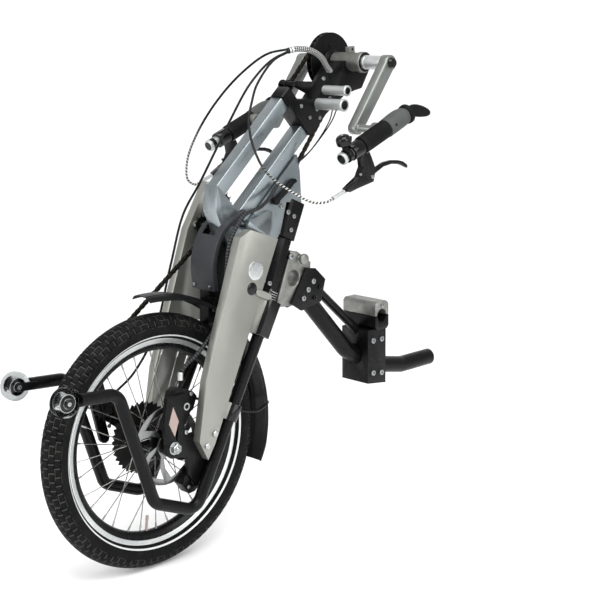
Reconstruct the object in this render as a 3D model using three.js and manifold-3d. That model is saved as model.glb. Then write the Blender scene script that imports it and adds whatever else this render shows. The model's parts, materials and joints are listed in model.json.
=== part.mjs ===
// Clip-on handcycle: a driven and steered front wheel unit that docks under a seat.
// Units are millimetres. +X is the rider's left, -Y is forward and +Z is up.
// The origin is where the tyre meets the ground, in the middle plane of the wheel.
import * as THREE from 'three';
import { mergeVertices } from 'three/addons/utils/BufferGeometryUtils.js';
import { ConvexGeometry } from 'three/addons/geometries/ConvexGeometry.js';
import Module from 'manifold-3d';

const wasm = await Module();
wasm.setup();

// Clearances shared by every fit
const seat = 0.3;
const overrun = 5;
const runningGap = 0.6;

// Wheel: 20 inch tyre on a deep rim
const tyreRadius = 258;
const tyreWidth = 54;
const rimRadius = 209;
const rimDepth = 25;
const rimWidth = 30;
const wheelSegments = 32;
const axle = { y: 0, z: tyreRadius };

// Hub, brake rotor and the width between the dropouts
const hubHalfWidth = 61.4;
const axleRadius = 6;
const rotorRadius = 80;
const rotorThickness = 1.8;
const rotorX = 46;

// Fork blades
const bladeLength = 444;
const bladeWidth = 102;
const bladeAngle = 71;
const bladeThickness = 20;
const bladeInnerX = 70;
const bladeFootOffset = { y: 70, z: -23 };
const dropoutThickness = 8;

// Steering column and head tube
const columnAngle = 66.6;
const columnTopOffset = { y: 180, z: 42 };
const columnWidth = 46;
const columnBlockLength = 82;
const headTubeLength = 142;
const steererRadius = 14;

// Mast of two square tubes that carries the cranks
const mastAngle = 42.1;
const mastFootOffset = { y: -33, z: 85 };
const mastLength = 246;
const mastSpacing = 82;
const mastTubeWidth = 30;
const mastWall = 3;

// Crank drive
const crankAlong = 196;
const crankAcross = 73.5;
const crankLength = 162;
const crankAngle = -127;
const crankInnerX = 112;
const crankThickness = 22;
const crankAxleRadius = 8;
const shellRadius = 20;
const shellOuterX = 60;
const shellInnerX = 26;

// Chain: half inch pitch, with its plane on the far side of the mast
const chainPitch = 12.7;
const chainX = -48;
const rollerRadius = 3.9;
const ringTeeth = 28;
const pulleyTeeth = 11;
const drivenTeeth = 20;
const sprocketThickness = 1.8;
const sprocketSpacing = 5;
const guidePulleyOffset = { y: -78, z: 72 };
const cageLength = 78;
const upperIdlerOffset = { y: 30, z: 48 };
const lowerIdlerOffset = { y: -29, z: 9 };

// Hand grips
const gripX = 200;
const gripRadius = 19;
const gripAngle = 21.7;
const gripFront = 128;
const gripBarRadius = 11;
const spindleRadius = 8;

// Parking stands
const standX = 80;
const standTubeRadius = 12.5;
const standAngle = 61.6;
const standOffset = { y: 140, z: 45 };
const standReach = 446;
const standRollerRadius = 28;

// Dock and boom under the seat
const boomRadius = 19;
const strutRadius = 10;

// Finishes, read from the object
const finishes = {
  silver: { color: 0xa6aaa6, roughness: 0.38, metalness: 0.85 },
  polished: { color: 0xc4c7c8, roughness: 0.22, metalness: 0.95 },
  castAlloy: { color: 0x9b9c99, roughness: 0.5, metalness: 0.8 },
  black: { color: 0x17181a, roughness: 0.45, metalness: 0.3 },
  plastic: { color: 0x33343a, roughness: 0.5, metalness: 0 },
  rubber: { color: 0x1c1d1f, roughness: 0.85, metalness: 0 },
  grey: { color: 0x6d6f70, roughness: 0.7, metalness: 0 },
  steel: { color: 0xb5b7b8, roughness: 0.3, metalness: 0.95 },
  chainSteel: { color: 0x4a423a, roughness: 0.45, metalness: 0.85 },
  frosted: { color: 0xb9bcbd, roughness: 0.35, metalness: 0 },
};

const model = new THREE.Group();

// Places in the side plane
const degrees = Math.PI / 180;
const heading = (angle) => ({ y: Math.cos(angle * degrees), z: Math.sin(angle * degrees) });
const offset = (place, by) => ({ y: place.y + by.y, z: place.z + by.z });
const mix = (a, b, share) => ({ y: a.y + (b.y - a.y) * share, z: a.z + (b.z - a.z) * share });
const distance = (a, b) => Math.hypot(b.y - a.y, b.z - a.z);
const vector = (place, x) => new THREE.Vector3(x, place.y, place.z);

// A place reached by going along a heading and then to its left
function along(from, angle, forward, left = 0) {
  const h = heading(angle);
  return { y: from.y + h.y * forward - h.z * left, z: from.z + h.z * forward + h.y * left };
}

// An outline given as shares of a length and a width, laid along a heading
function outline(from, angle, length, width, pairs) {
  return pairs.map(([l, w]) => along(from, angle, l * length, w * width));
}

// An outline moved outwards by a margin, for clearance cuts
function grown(places, margin) {
  const area = places.reduce((sum, p, i) => {
    const q = places[(i + 1) % places.length];
    return sum + (p.y * q.z - q.y * p.z) / 2;
  }, 0);
  const side = Math.sign(area);
  return places.map((p, i) => {
    const before = places[(i + places.length - 1) % places.length];
    const after = places[(i + 1) % places.length];
    const a = distance(before, p);
    const b = distance(p, after);
    const na = { y: ((p.z - before.z) / a) * side, z: (-(p.y - before.y) / a) * side };
    const nb = { y: ((after.z - p.z) / b) * side, z: (-(after.y - p.y) / b) * side };
    const dot = 1 + na.y * nb.y + na.z * nb.z;
    return { y: p.y + ((na.y + nb.y) * margin) / dot, z: p.z + ((na.z + nb.z) * margin) / dot };
  });
}

// Points of a circle, or of a part of one, in the side plane
function arc(centre, radius, from, to, steps) {
  const places = [];
  for (let i = 0; i <= steps; i += 1) {
    places.push(along(centre, from + ((to - from) * i) / steps, radius));
  }
  return places;
}
const circle = (centre, radius, steps) => arc(centre, radius, 0, 360, steps).slice(0, steps);

// The two faces of a plate of some thickness about its middle
const centred = (x, thickness) => [x - thickness / 2, x + thickness / 2];

// Every closed surface is kept with its faces turned outwards
function signedVolume(geometry) {
  const p = geometry.getAttribute('position');
  const index = geometry.getIndex();
  const a = new THREE.Vector3();
  const b = new THREE.Vector3();
  const c = new THREE.Vector3();
  let sum = 0;
  for (let i = 0; i < index.count; i += 3) {
    a.fromBufferAttribute(p, index.getX(i));
    b.fromBufferAttribute(p, index.getX(i + 1));
    c.fromBufferAttribute(p, index.getX(i + 2));
    sum += a.dot(b.cross(c)) / 6;
  }
  return sum;
}

function closed(geometry) {
  const bare = geometry.clone();
  bare.deleteAttribute('normal');
  bare.deleteAttribute('uv');
  const merged = mergeVertices(bare, 1e-4);
  if (signedVolume(merged) < 0) {
    const index = merged.getIndex();
    for (let i = 0; i < index.count; i += 3) {
      const first = index.getX(i);
      index.setX(i, index.getX(i + 1));
      index.setX(i + 1, first);
    }
  }
  return merged;
}

// Solid operations
function solid(geometry) {
  const g = closed(geometry);
  return new wasm.Manifold(new wasm.Mesh({
    numProp: 3,
    vertProperties: new Float32Array(g.getAttribute('position').array),
    triVerts: new Uint32Array(g.getIndex().array),
  }));
}

function surface(body) {
  const mesh = body.getMesh();
  const geometry = new THREE.BufferGeometry();
  geometry.setAttribute('position', new THREE.BufferAttribute(new Float32Array(mesh.vertProperties), 3));
  geometry.setIndex(new THREE.BufferAttribute(new Uint32Array(mesh.triVerts), 1));
  return geometry;
}

const cut = (geometry, ...tools) =>
  surface(tools.reduce((body, t) => body.subtract(solid(t)), solid(geometry)));
const join = (...pieces) =>
  surface(pieces.slice(1).reduce((body, p) => body.add(solid(p)), solid(pieces[0])));

// Basic forms: a plate lies in the side plane, a turned piece has its axis along X
const sideways = new THREE.Matrix4().makeBasis(
  new THREE.Vector3(0, 1, 0),
  new THREE.Vector3(0, 0, 1),
  new THREE.Vector3(1, 0, 0),
);
const turnedAlongX = new THREE.Matrix4().makeBasis(
  new THREE.Vector3(0, 0, 1),
  new THREE.Vector3(1, 0, 0),
  new THREE.Vector3(0, 1, 0),
);
const flat = (places) => places.map((p) => new THREE.Vector2(p.y, p.z));

function plate(places, lowX, highX, holes = []) {
  const shape = new THREE.Shape(flat(places));
  shape.holes = holes.map((hole) => new THREE.Path(flat(hole)));
  const geometry = new THREE.ExtrudeGeometry(shape, { depth: highX - lowX, bevelEnabled: false });
  return closed(geometry.applyMatrix4(sideways).translate(lowX, 0, 0));
}

function turned(profile, centre, steps) {
  const points = profile.map(([radius, x]) => new THREE.Vector2(radius, x));
  const geometry = new THREE.LatheGeometry(points, steps, Math.PI / steps);
  return closed(geometry.applyMatrix4(turnedAlongX).translate(0, centre.y, centre.z));
}

const disc = (centre, radius, lowX, highX, steps) => turned(
  [[0, lowX], [radius, lowX], [radius, highX], [0, highX]],
  centre,
  steps,
);

function washer(centre, radius, bore, lowX, highX, steps) {
  return turned([[bore, lowX], [radius, lowX], [radius, highX], [bore, highX], [bore, lowX]], centre, steps);
}

// A round bar between two points in space
function rod(from, to, radius, steps) {
  const span = new THREE.Vector3().subVectors(to, from);
  const geometry = new THREE.CylinderGeometry(radius, radius, span.length(), steps);
  const turn = new THREE.Quaternion().setFromUnitVectors(
    new THREE.Vector3(0, 1, 0), span.clone().normalize(),
  );
  geometry.applyQuaternion(turn);
  const middle = new THREE.Vector3().addVectors(from, to).multiplyScalar(0.5);
  return closed(geometry.translate(middle.x, middle.y, middle.z));
}

// A skin over rings that hold the same number of points, with a flat end on each unless it is a loop
function loft(rings, isLoop = false) {
  const count = rings[0].length;
  const positions = rings.flat().flatMap((p) => [p.x, p.y, p.z]);
  const index = [];
  const spans = isLoop ? rings.length : rings.length - 1;
  for (let r = 0; r < spans; r += 1) {
    const next = ((r + 1) % rings.length) * count;
    for (let i = 0; i < count; i += 1) {
      const j = (i + 1) % count;
      const a = r * count;
      index.push(a + i, a + j, next + j, a + i, next + j, next + i);
    }
  }
  const last = (rings.length - 1) * count;
  for (let i = 1; i < count - 1 && !isLoop; i += 1) {
    index.push(0, i + 1, i, last, last + i, last + i + 1);
  }
  const geometry = new THREE.BufferGeometry();
  geometry.setAttribute('position', new THREE.Float32BufferAttribute(positions, 3));
  geometry.setIndex(index);
  return closed(geometry);
}

// Corners of a route rounded into arcs
function rounded(points, radius, steps) {
  const route = [points[0].clone()];
  for (let i = 1; i < points.length - 1; i += 1) {
    const back = new THREE.Vector3().subVectors(points[i - 1], points[i]).normalize();
    const on = new THREE.Vector3().subVectors(points[i + 1], points[i]).normalize();
    const half = back.angleTo(on) / 2;
    const trim = radius / Math.tan(half);
    const start = points[i].clone().addScaledVector(back, trim);
    const end = points[i].clone().addScaledVector(on, trim);
    const bend = new THREE.QuadraticBezierCurve3(start, points[i], end);
    route.push(...bend.getPoints(steps));
  }
  route.push(points[points.length - 1].clone());
  return route;
}

// A tube or a bar of any section carried along a route, its section square to the route
function carried(route, section) {
  let side = null;
  const rings = route.map((p, i) => {
    const before = route[Math.max(i - 1, 0)];
    const after = route[Math.min(i + 1, route.length - 1)];
    const tangent = new THREE.Vector3().subVectors(after, before).normalize();
    if (!side) {
      const helper = Math.abs(tangent.x) > 0.9 ? new THREE.Vector3(0, 0, 1) : new THREE.Vector3(1, 0, 0);
      side = helper;
    }
    side = side.clone().addScaledVector(tangent, -side.dot(tangent)).normalize();
    const up = new THREE.Vector3().crossVectors(tangent, side);
    return section(i).map(([s, u]) => p.clone().addScaledVector(side, s).addScaledVector(up, u));
  });
  return loft(rings);
}

function roundSection(radius, sides) {
  return Array.from({ length: sides }, (_, i) => {
    const a = ((i + 0.5) / sides) * 2 * Math.PI;
    return [radius * Math.cos(a), radius * Math.sin(a)];
  });
}

const pipe = (route, radius, sides) => carried(route, () => roundSection(radius, sides));

// A smooth route through points chosen by hand
function smooth(points, steps) {
  return new THREE.CatmullRomCurve3(points, false, 'centripetal').getSpacedPoints(steps);
}

const hull = (points) => closed(new ConvexGeometry(points));
const mirrored = (geometry) => closed(geometry.clone().scale(-1, 1, 1));

function add(name, geometry, finish) {
  const material = new THREE.MeshStandardMaterial(finishes[finish]);
  const mesh = new THREE.Mesh(closed(geometry), material);
  mesh.name = name;
  model.add(mesh);
  return mesh;
}

// Wheel
const rimInner = rimRadius - rimDepth;
const tyreShares = [
  [0.02, 0.22], [0.14, 0.45], [0.32, 0.96], [0.62, 1], [0.9, 0.68], [1, 0.3],
];
const beadHalfWidth = 12.1;
const rimShares = [[0, 0.5], [0, 0.42], [0.35, 0.41], [0.5, 0.2]];
const rimBackShares = [[0.72, 0.44], [1, 0.24]];
const facetRise = 1 / Math.cos(Math.PI / wheelSegments);
const ringOf = (pairs) => [...pairs, ...pairs.slice().reverse().map(([r, x]) => [r, -x])];

function tyreProfile() {
  const seatRadius = rimRadius - 0.32 * rimDepth;
  const height = tyreRadius - seatRadius;
  const half = ringOf(tyreShares.map(([h, w], i) => {
    const x = i < 2 ? beadHalfWidth * (i === 0 ? 0.8 : 1) : (w * tyreWidth) / 2;
    return [(seatRadius + h * height + seat) * facetRise, x];
  }));
  return [...half, half[0]];
}

function rimProfile() {
  const outside = ringOf(rimShares.map(([d, w]) => [(rimRadius - d * rimDepth) * facetRise, w * rimWidth]));
  const inside = ringOf(
    rimBackShares.map(([d, w]) => [(rimRadius - d * rimDepth) * facetRise, w * rimWidth]),
  );
  const profile = [...outside, ...inside.reverse()];
  return [...profile, profile[0]];
}

add('front_tyre', turned(tyreProfile(), axle, wheelSegments), 'rubber');
add('front_rim', turned(rimProfile(), axle, wheelSegments), 'black');

// Hub with a flange for each set of spokes, turned from one bar
const hub = {
  bore: 6.6, shell: 15, flange: 30, farFlange: 25, flangeX: 30, farFlangeX: -24, web: 3, nose: 10,
  rotorSeat: 20,
};
const hubStartX = -28;
const hubEndX = hubHalfWidth - seat;
const rotorFaceX = rotorX - rotorThickness / 2 - seat;
const hubProfile = [
  [hub.bore, hubStartX], [hub.shell, hubStartX], [hub.shell, hub.farFlangeX - hub.web / 2],
  [hub.farFlange, hub.farFlangeX - hub.web / 2], [hub.farFlange, hub.farFlangeX + hub.web / 2],
  [hub.shell, hub.farFlangeX + 2 * hub.web], [hub.shell, hub.flangeX - 2 * hub.web],
  [hub.flange, hub.flangeX - hub.web / 2], [hub.flange, hub.flangeX + hub.web / 2],
  [hub.shell, hub.flangeX + hub.web], [hub.rotorSeat, rotorFaceX - hub.web], [hub.rotorSeat, rotorFaceX],
  [hub.nose, rotorFaceX], [hub.nose, hubEndX], [hub.bore, hubEndX], [hub.bore, hubStartX],
];

// Spokes: sixteen a side, crossed in twos, heads alternately inside and outside the flange
const spokesPerSide = 16;
const spokeRadius = 1.1;
const spokeCross = 45;
const spokeHeadDepth = 0.4;

function spokeSet(flangeX, flangeRadius, phase, side) {
  const set = [];
  for (let i = 0; i < spokesPerSide; i += 1) {
    const angle = phase + (i * 360) / spokesPerSide;
    const leading = i % 2 === 0;
    const stand = (hub.web / 2 + spokeHeadDepth) * (leading ? 1 : -1);
    const from = along(axle, angle, flangeRadius);
    const to = along(axle, angle + (leading ? spokeCross : -spokeCross), rimInner - seat);
    set.push(rod(vector(from, flangeX + stand), vector(to, side * rimWidth * 0.1), spokeRadius, 3));
  }
  return set;
}
add('spoked_hub', join(
  turned(hubProfile, axle, 16),
  ...spokeSet(hub.flangeX, hub.flange - hub.web, 0, 1),
  ...spokeSet(hub.farFlangeX, hub.farFlange - hub.web, 180 / spokesPerSide, -1),
), 'steel');

// Brake rotor with raked arms
const rotorBand = 12;
const rotorArms = 6;
const rotorHub = 24;
const rotorWindowShares = [[0, 0.12], [0, 0.86], [0.5, 1.12], [1, 1.36], [1, 0.98], [1, 0.62], [0.5, 0.38]];

function rotor() {
  const inner = rotorRadius - rotorBand;
  const pitch = 360 / rotorArms;
  const windows = Array.from({ length: rotorArms }, (_, i) => rotorWindowShares.map(([r, a]) => (
    along(axle, (i + a) * pitch, rotorHub + r * (inner - rotorHub))
  )));
  const bore = circle(axle, hub.nose + seat, 24);
  const low = rotorX - rotorThickness / 2;
  return plate(circle(axle, rotorRadius, 30), low, low + rotorThickness, [...windows, bore]);
}
add('brake_rotor', rotor(), 'steel');

// Chain path: the loop runs over circles, each passed on its left or its right
const pitchRadius = (teeth) => (teeth * chainPitch) / (2 * Math.PI);
const bladeFoot = offset(axle, bladeFootOffset);
const bladeTop = along(bladeFoot, bladeAngle, bladeLength);
const mastFoot = offset(bladeTop, mastFootOffset);
const mastTop = along(mastFoot, mastAngle, mastLength);
const crank = along(mastTop, mastAngle, crankAlong, -crankAcross);
const upperIdler = offset(bladeTop, upperIdlerOffset);
const lowerIdler = offset(bladeTop, lowerIdlerOffset);
const guidePulley = offset(axle, guidePulleyOffset);

function loopOver(cageAngle) {
  const tensionPulley = along(guidePulley, cageAngle, cageLength);
  return [
    { centre: axle, teeth: drivenTeeth, turn: 1 },
    { centre: crank, teeth: ringTeeth, turn: 1 },
    { centre: upperIdler, teeth: pulleyTeeth, turn: 1 },
    { centre: lowerIdler, teeth: pulleyTeeth, turn: -1 },
    { centre: tensionPulley, teeth: pulleyTeeth, turn: 1 },
    { centre: guidePulley, teeth: pulleyTeeth, turn: -1 },
  ];
}

// Where the straight run from one circle to the next leaves and lands, as headings from their centres
function tangent(from, to) {
  const span = distance(from.centre, to.centre);
  const direction = Math.atan2(to.centre.z - from.centre.z, to.centre.y - from.centre.y) / degrees;
  const r0 = pitchRadius(from.teeth) * from.turn;
  const r1 = pitchRadius(to.teeth) * to.turn;
  const lean = Math.acos((r0 - r1) / span) / degrees;
  const normal = direction - lean;
  return { leave: normal + (from.turn < 0 ? 180 : 0), land: normal + (to.turn < 0 ? 180 : 0) };
}

function stretches(wheels) {
  const runs = wheels.map((wheel, i) => tangent(wheel, wheels[(i + 1) % wheels.length]));
  const parts = [];
  wheels.forEach((wheel, i) => {
    const next = wheels[(i + 1) % wheels.length];
    const landed = runs[(i + wheels.length - 1) % wheels.length].land;
    const sweep = ((((runs[i].leave - landed) * wheel.turn) % 360) + 360) % 360;
    const radius = pitchRadius(wheel.teeth);
    parts.push({ wheel, radius, from: landed, sweep: sweep * wheel.turn, length: radius * sweep * degrees });
    const a = along(wheel.centre, runs[i].leave, radius);
    const b = along(next.centre, runs[i].land, pitchRadius(next.teeth));
    parts.push({ a, b, length: distance(a, b) });
  });
  return parts;
}
const loopLength = (cageAngle) => stretches(loopOver(cageAngle)).reduce((sum, part) => sum + part.length, 0);

// The sprung cage swings until the loop holds a whole and even number of links
function settledCage(lowAngle, highAngle) {
  const steps = 40;
  const pairLength = 2 * chainPitch;
  const goal = Math.round(loopLength((lowAngle + highAngle) / 2) / pairLength) * pairLength;
  let best = lowAngle;
  for (let i = 0; i <= steps; i += 1) {
    const angle = lowAngle + ((highAngle - lowAngle) * i) / steps;
    if (Math.abs(loopLength(angle) - goal) < Math.abs(loopLength(best) - goal)) {
      best = angle;
    }
  }
  let reach = (highAngle - lowAngle) / steps;
  while (reach > 1e-7) {
    const sides = [best - reach, best + reach];
    const better = sides.find((a) => Math.abs(loopLength(a) - goal) < Math.abs(loopLength(best) - goal));
    best = better ?? best;
    reach = better === undefined ? reach / 2 : reach;
  }
  return best;
}
const cageAngle = settledCage(75, 125);
const tensionPulley = along(guidePulley, cageAngle, cageLength);
const chainWheels = loopOver(cageAngle);
const chainParts = stretches(chainWheels);
const chainLength = chainParts.reduce((sum, part) => sum + part.length, 0);
const linkCount = Math.round(chainLength / chainPitch);
console.log(
  'chain', linkCount, 'links', (chainLength / chainPitch).toFixed(4), 'cage angle',
  cageAngle.toFixed(2),
);

// A place on the loop, moved off it to the left, with its heading
function onLoop(distanceAlong, left = 0) {
  let rest = ((distanceAlong % chainLength) + chainLength) % chainLength;
  for (const part of chainParts) {
    if (rest <= part.length) {
      if (part.wheel) {
        const share = part.length > 0 ? rest / part.length : 0;
        const angle = part.from + part.sweep * share;
        const turn = Math.sign(part.sweep);
        return {
          place: along(part.wheel.centre, angle, part.radius - turn * left), angle: angle + 90 * turn,
        };
      }
      const angle = Math.atan2(part.b.z - part.a.z, part.b.y - part.a.y) / degrees;
      return { place: along(part.a, angle, rest, left), angle };
    }
    rest -= part.length;
  }
  return onLoop(0, left);
}

// A toothed wheel whose valleys lie under the rollers that it carries
const rootDrop = rollerRadius + 0.1 * rollerRadius;
const tipRise = 2.2;
const pointedToothShares = [[0.34, 0], [0.5, 1], [0.66, 0]];
const coarseToothShares = [[0.2, 0], [0.5, 1]];

// The chain is one band, wide and high in an outer link, narrow and low in an inner one, with a groove inside
// it wherever a toothed wheel runs
const outerLinkHeight = 8.2;
const innerLinkHeight = 7;
const outerLinkWidth = 7;
const innerLinkWidth = 4.6;
const grooveWidth = 2.8;
const grooveSides = 16;

function chain() {
  const rings = [];
  for (let i = 0; i < linkCount; i += 1) {
    const isOuter = i % 2 === 0;
    const half = (isOuter ? outerLinkHeight : innerLinkHeight) / 2;
    const [low, high] = centred(chainX, isOuter ? outerLinkWidth : innerLinkWidth);
    const inner = onLoop((i + 0.5) * chainPitch, half).place;
    const outer = onLoop((i + 0.5) * chainPitch, -half).place;
    rings.push([vector(inner, low), vector(inner, high), vector(outer, high), vector(outer, low)]);
  }
  const grooves = chainWheels.map((wheel) => disc(
    wheel.centre,
    (pitchRadius(wheel.teeth) + tipRise + runningGap) / Math.cos(Math.PI / grooveSides),
    ...centred(chainX, grooveWidth),
    grooveSides,
  ));
  return cut(loft(rings, true), ...grooves);
}
add('chain', chain(), 'chainSteel');

function toothed(centre, teeth, phase, shares) {
  const root = pitchRadius(teeth) - rootDrop;
  const tip = pitchRadius(teeth) + tipRise;
  return Array.from({ length: teeth }, (_, i) => shares.map(([a, h]) => (
    along(centre, phase + ((i + a) * 360) / teeth, root + h * (tip - root))
  ))).flat();
}

function valleyPhase(wheel) {
  let start = 0;
  for (const part of chainParts) {
    if (part.wheel === wheel) {
      const next = Math.ceil(start / chainPitch) * chainPitch;
      return part.from + (part.sweep * (next - start)) / part.length;
    }
    start += part.length;
  }
  return 0;
}
const [drivenWheel, ringWheel, upperWheel, lowerWheel, tensionWheel, guideWheel] = chainWheels;

const guardRadius = 62;
const guardThickness = 2.5;
const guardFlange = 12;
const guardStandOff = 5;

function chainring() {
  const [low, high] = centred(chainX, sprocketThickness);
  const outside = toothed(crank, ringTeeth, valleyPhase(ringWheel), pointedToothShares);
  const arms = 4;
  const hubRadius = crankAxleRadius + 2 * seat + guardFlange;
  const windowRadius = pitchRadius(ringTeeth) * 0.78;
  const windows = Array.from({ length: arms }, (_, i) => {
    const start = (i * 360) / arms;
    return [
      ...arc(crank, windowRadius, start + 14, start + 76, 3),
      ...arc(crank, hubRadius, start + 68, start + 22, 2),
    ];
  });
  const ring = plate(outside, low, high, [...windows, circle(crank, crankAxleRadius + seat, 12)]);
  const guardLow = chainX + guardStandOff;
  const guard = plate(circle(crank, guardRadius, 16), guardLow, guardLow + guardThickness, [
    circle(crank, crankAxleRadius + seat, 12),
  ]);
  const spacer = washer(
    crank, hubRadius - guardFlange / 2, crankAxleRadius + seat, low, -shellInnerX - seat, 12,
  );
  const outer = chainX - (guardLow - chainX) - guardThickness;
  const outerGuard = plate(circle(crank, guardRadius, 16), outer, outer + guardThickness, [
    circle(crank, crankAxleRadius + seat, 12),
  ]);
  const outerSpacer = washer(crank, hubRadius - guardFlange / 2, crankAxleRadius + seat, outer, high, 12);
  return join(ring, guard, spacer, outerGuard, outerSpacer);
}
add('chainring', chainring(), 'black');

// Cassette: larger sprockets inboard, smaller ones outboard of the one in use
const cassetteTeeth = [36, 30, 24, 20, 16, 12];
const cassetteBore = hub.bore;
const cassetteCore = 17;
const lockRing = 2.5;

function cassette() {
  const inUse = cassetteTeeth.indexOf(drivenTeeth);
  const discs = cassetteTeeth.map((teeth, i) => {
    const x = chainX + (inUse - i) * sprocketSpacing;
    const shares = i === inUse ? pointedToothShares : coarseToothShares;
    return plate(toothed(axle, teeth, valleyPhase(drivenWheel), shares), ...centred(x, sprocketThickness));
  });
  const high = hubStartX - seat;
  const low = chainX - (cassetteTeeth.length - 1 - inUse) * sprocketSpacing - lockRing;
  return cut(join(...discs, disc(axle, cassetteCore, low, high, 12)), disc(
    axle,
    cassetteBore,
    low - overrun,
    high + overrun,
    12,
  ));
}
add('cassette', cassette(), 'chainSteel');

// Idlers and derailleur pulleys, each with a boss and a bore for its bolt
const pulleyBoss = 8;
const pulleyBore = 3.6;
const pulleyHalfWidth = 4.5;

function pulley(wheel) {
  const teeth = plate(
    toothed(wheel.centre, pulleyTeeth, valleyPhase(wheel), pointedToothShares),
    ...centred(chainX, sprocketThickness),
  );
  const boss = disc(wheel.centre, pulleyBoss, chainX - pulleyHalfWidth, chainX + pulleyHalfWidth, 8);
  const bore = disc(wheel.centre, pulleyBore, chainX - 2 * pulleyHalfWidth, chainX + 2 * pulleyHalfWidth, 8);
  return cut(join(teeth, boss), bore);
}
add('idler_upper', pulley(upperWheel), 'black');
add('idler_lower', pulley(lowerWheel), 'black');
add('tension_pulley', pulley(tensionWheel), 'black');
add('guide_pulley', pulley(guideWheel), 'black');

// A plate on one side of the middle plane, from its inner face to its outer face
const sided = (side, low, high) => (side > 0 ? [low, high] : [-high, -low]);
const sidePlate = (side, places, low, high, holes = []) => plate(places, ...sided(side, low, high), holes);

// A place given as shares of a length along +Y and of a height along +Z
const laid = (from, length, height, pairs) =>
  pairs.map(([a, b]) => offset(from, { y: a * length, z: b * height }));

// A bar of any [x, left] section laid along a heading, and a bar spun about its heading
function bar(from, angle, low, high, section) {
  return loft([low, high].map((s) => section.map(([x, left]) => vector(along(from, angle, s, left), x))));
}
function spun(from, angle, profile, sides, x = 0) {
  return loft(profile.map(([s, radius]) => roundSection(radius, sides).map(([across, left]) => (
    vector(along(from, angle, s, left), x + across)
  ))));
}
function chamfered(halfX, halfLeft, corner) {
  return [
    [halfX, halfLeft - corner], [halfX - corner, halfLeft], [corner - halfX, halfLeft],
    [-halfX, halfLeft - corner],
    [-halfX, corner - halfLeft], [corner - halfX, -halfLeft], [halfX - corner, -halfLeft],
    [halfX, corner - halfLeft],
  ];
}
const box = (half) => [[half, half], [-half, half], [-half, -half], [half, -half]];
const shiftedX = (section, x) => section.map(([a, left]) => [a + x, left]);

// A tapering arm: the hull of one outline on one plane and another outline on a second plane
const arm = (places, x, others, otherX) =>
  hull([...places.map((p) => vector(p, x)), ...others.map((p) => vector(p, otherX))]);

// Points in space given as shares from a place in the middle plane: x of a width, y and z of a length
const routed = (from, width, length, triples) => triples.map(([x, y, z]) => (
  new THREE.Vector3(x * width, from.y + y * length, from.z + z * length)
));

// Parking stands: a bent leg that turns about its straight part, with a roller at its end
const standPivot = offset(axle, standOffset);
const inStandFrame = (forward, left) => along(standPivot, standAngle, forward, left);
const sleeveLow = 164;
const sleeveHigh = 240;
const sleeveHalf = 17.5;
const legFootAlong = -0.4635 * standReach;
const legRunAngle = 108.1;
const legRunClearance = 12;
const legRunLow = -0.365 * standReach;
const legRunHigh = 0.19 * standReach;
const derailleurKnuckle = 12;
const legEndAlong = -0.2173 * standReach;
const legEndLeft = (standPivot.z + heading(standAngle).z * legEndAlong - standRollerRadius)
  / heading(standAngle).y;
const legBendRadius = 30;
const rollerHalfWidth = 11;
const rollerPinRadius = 5;
const tongueThickness = 4.5;
const legStopRoom = 3.7;
const rollerCentre = inStandFrame(legEndAlong, legEndLeft);
const legRunLeft = derailleurKnuckle + standTubeRadius + legRunClearance;
const legPlaces = [
  inStandFrame(sleeveHigh, 0), inStandFrame(legFootAlong, 0),
  along(guidePulley, legRunAngle, legRunLow, legRunLeft),
  along(guidePulley, legRunAngle, legRunHigh, legRunLeft),
];
const legLast = distance(rollerCentre, legPlaces[3]);
const legStop = mix(rollerCentre, legPlaces[3], (standRollerRadius + legStopRoom) / legLast);
const legRoute = rounded([...legPlaces, legStop].map((p) => vector(p, standX)), legBendRadius, 2);
const tongueHalf = 0.8 * standTubeRadius;
const rollerCapRadius = 1.8 * rollerPinRadius;

function standLeg() {
  const tube = pipe(legRoute, standTubeRadius, 8);
  const inner = standX - rollerHalfWidth - seat;
  const towards = Math.atan2(rollerCentre.z - legStop.z, rollerCentre.y - legStop.y) / degrees;
  const ends = [
    ...arc(rollerCentre, tongueHalf, towards - 90, towards + 90, 6),
    along(legStop, towards, -tongueHalf, tongueHalf), along(legStop, towards, -tongueHalf, -tongueHalf),
  ];
  const tonguePlate = plate(ends, inner - tongueThickness, inner);
  const pin = disc(
    rollerCentre, rollerPinRadius, inner - tongueThickness / 2, standX + rollerHalfWidth + seat, 12,
  );
  const cap = disc(
    rollerCentre,
    rollerCapRadius,
    standX + rollerHalfWidth + seat,
    standX + rollerHalfWidth + tongueThickness,
    12,
  );
  return join(tube, tonguePlate, pin, cap);
}
const rollerProfile = [
  [0.2, -1], [0.62, -1], [0.7, -0.7], [0.86, -0.8], [1, -0.5], [1, 0.5], [0.86, 0.8], [0.7, 0.7],
  [0.62, 1], [0.2, 1], [0.2, -1],
];

function standRoller() {
  const bore = rollerPinRadius + seat;
  return turned(rollerProfile.map(([r, x]) => [
    r < 0.5 ? bore : r * standRollerRadius,
    standX + x * rollerHalfWidth,
  ]), rollerCentre, 14);
}

// Sleeve and clamp on each blade that hold the straight part of the leg
const sleeveChamfer = 4;
const lugHalf = sleeveHalf / 2;
const clampLugReach = 34;
const turningRoom = 0.75;
const clampHalfLength = 17;
const lugReach = 42;
const springGap = 4;

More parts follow.
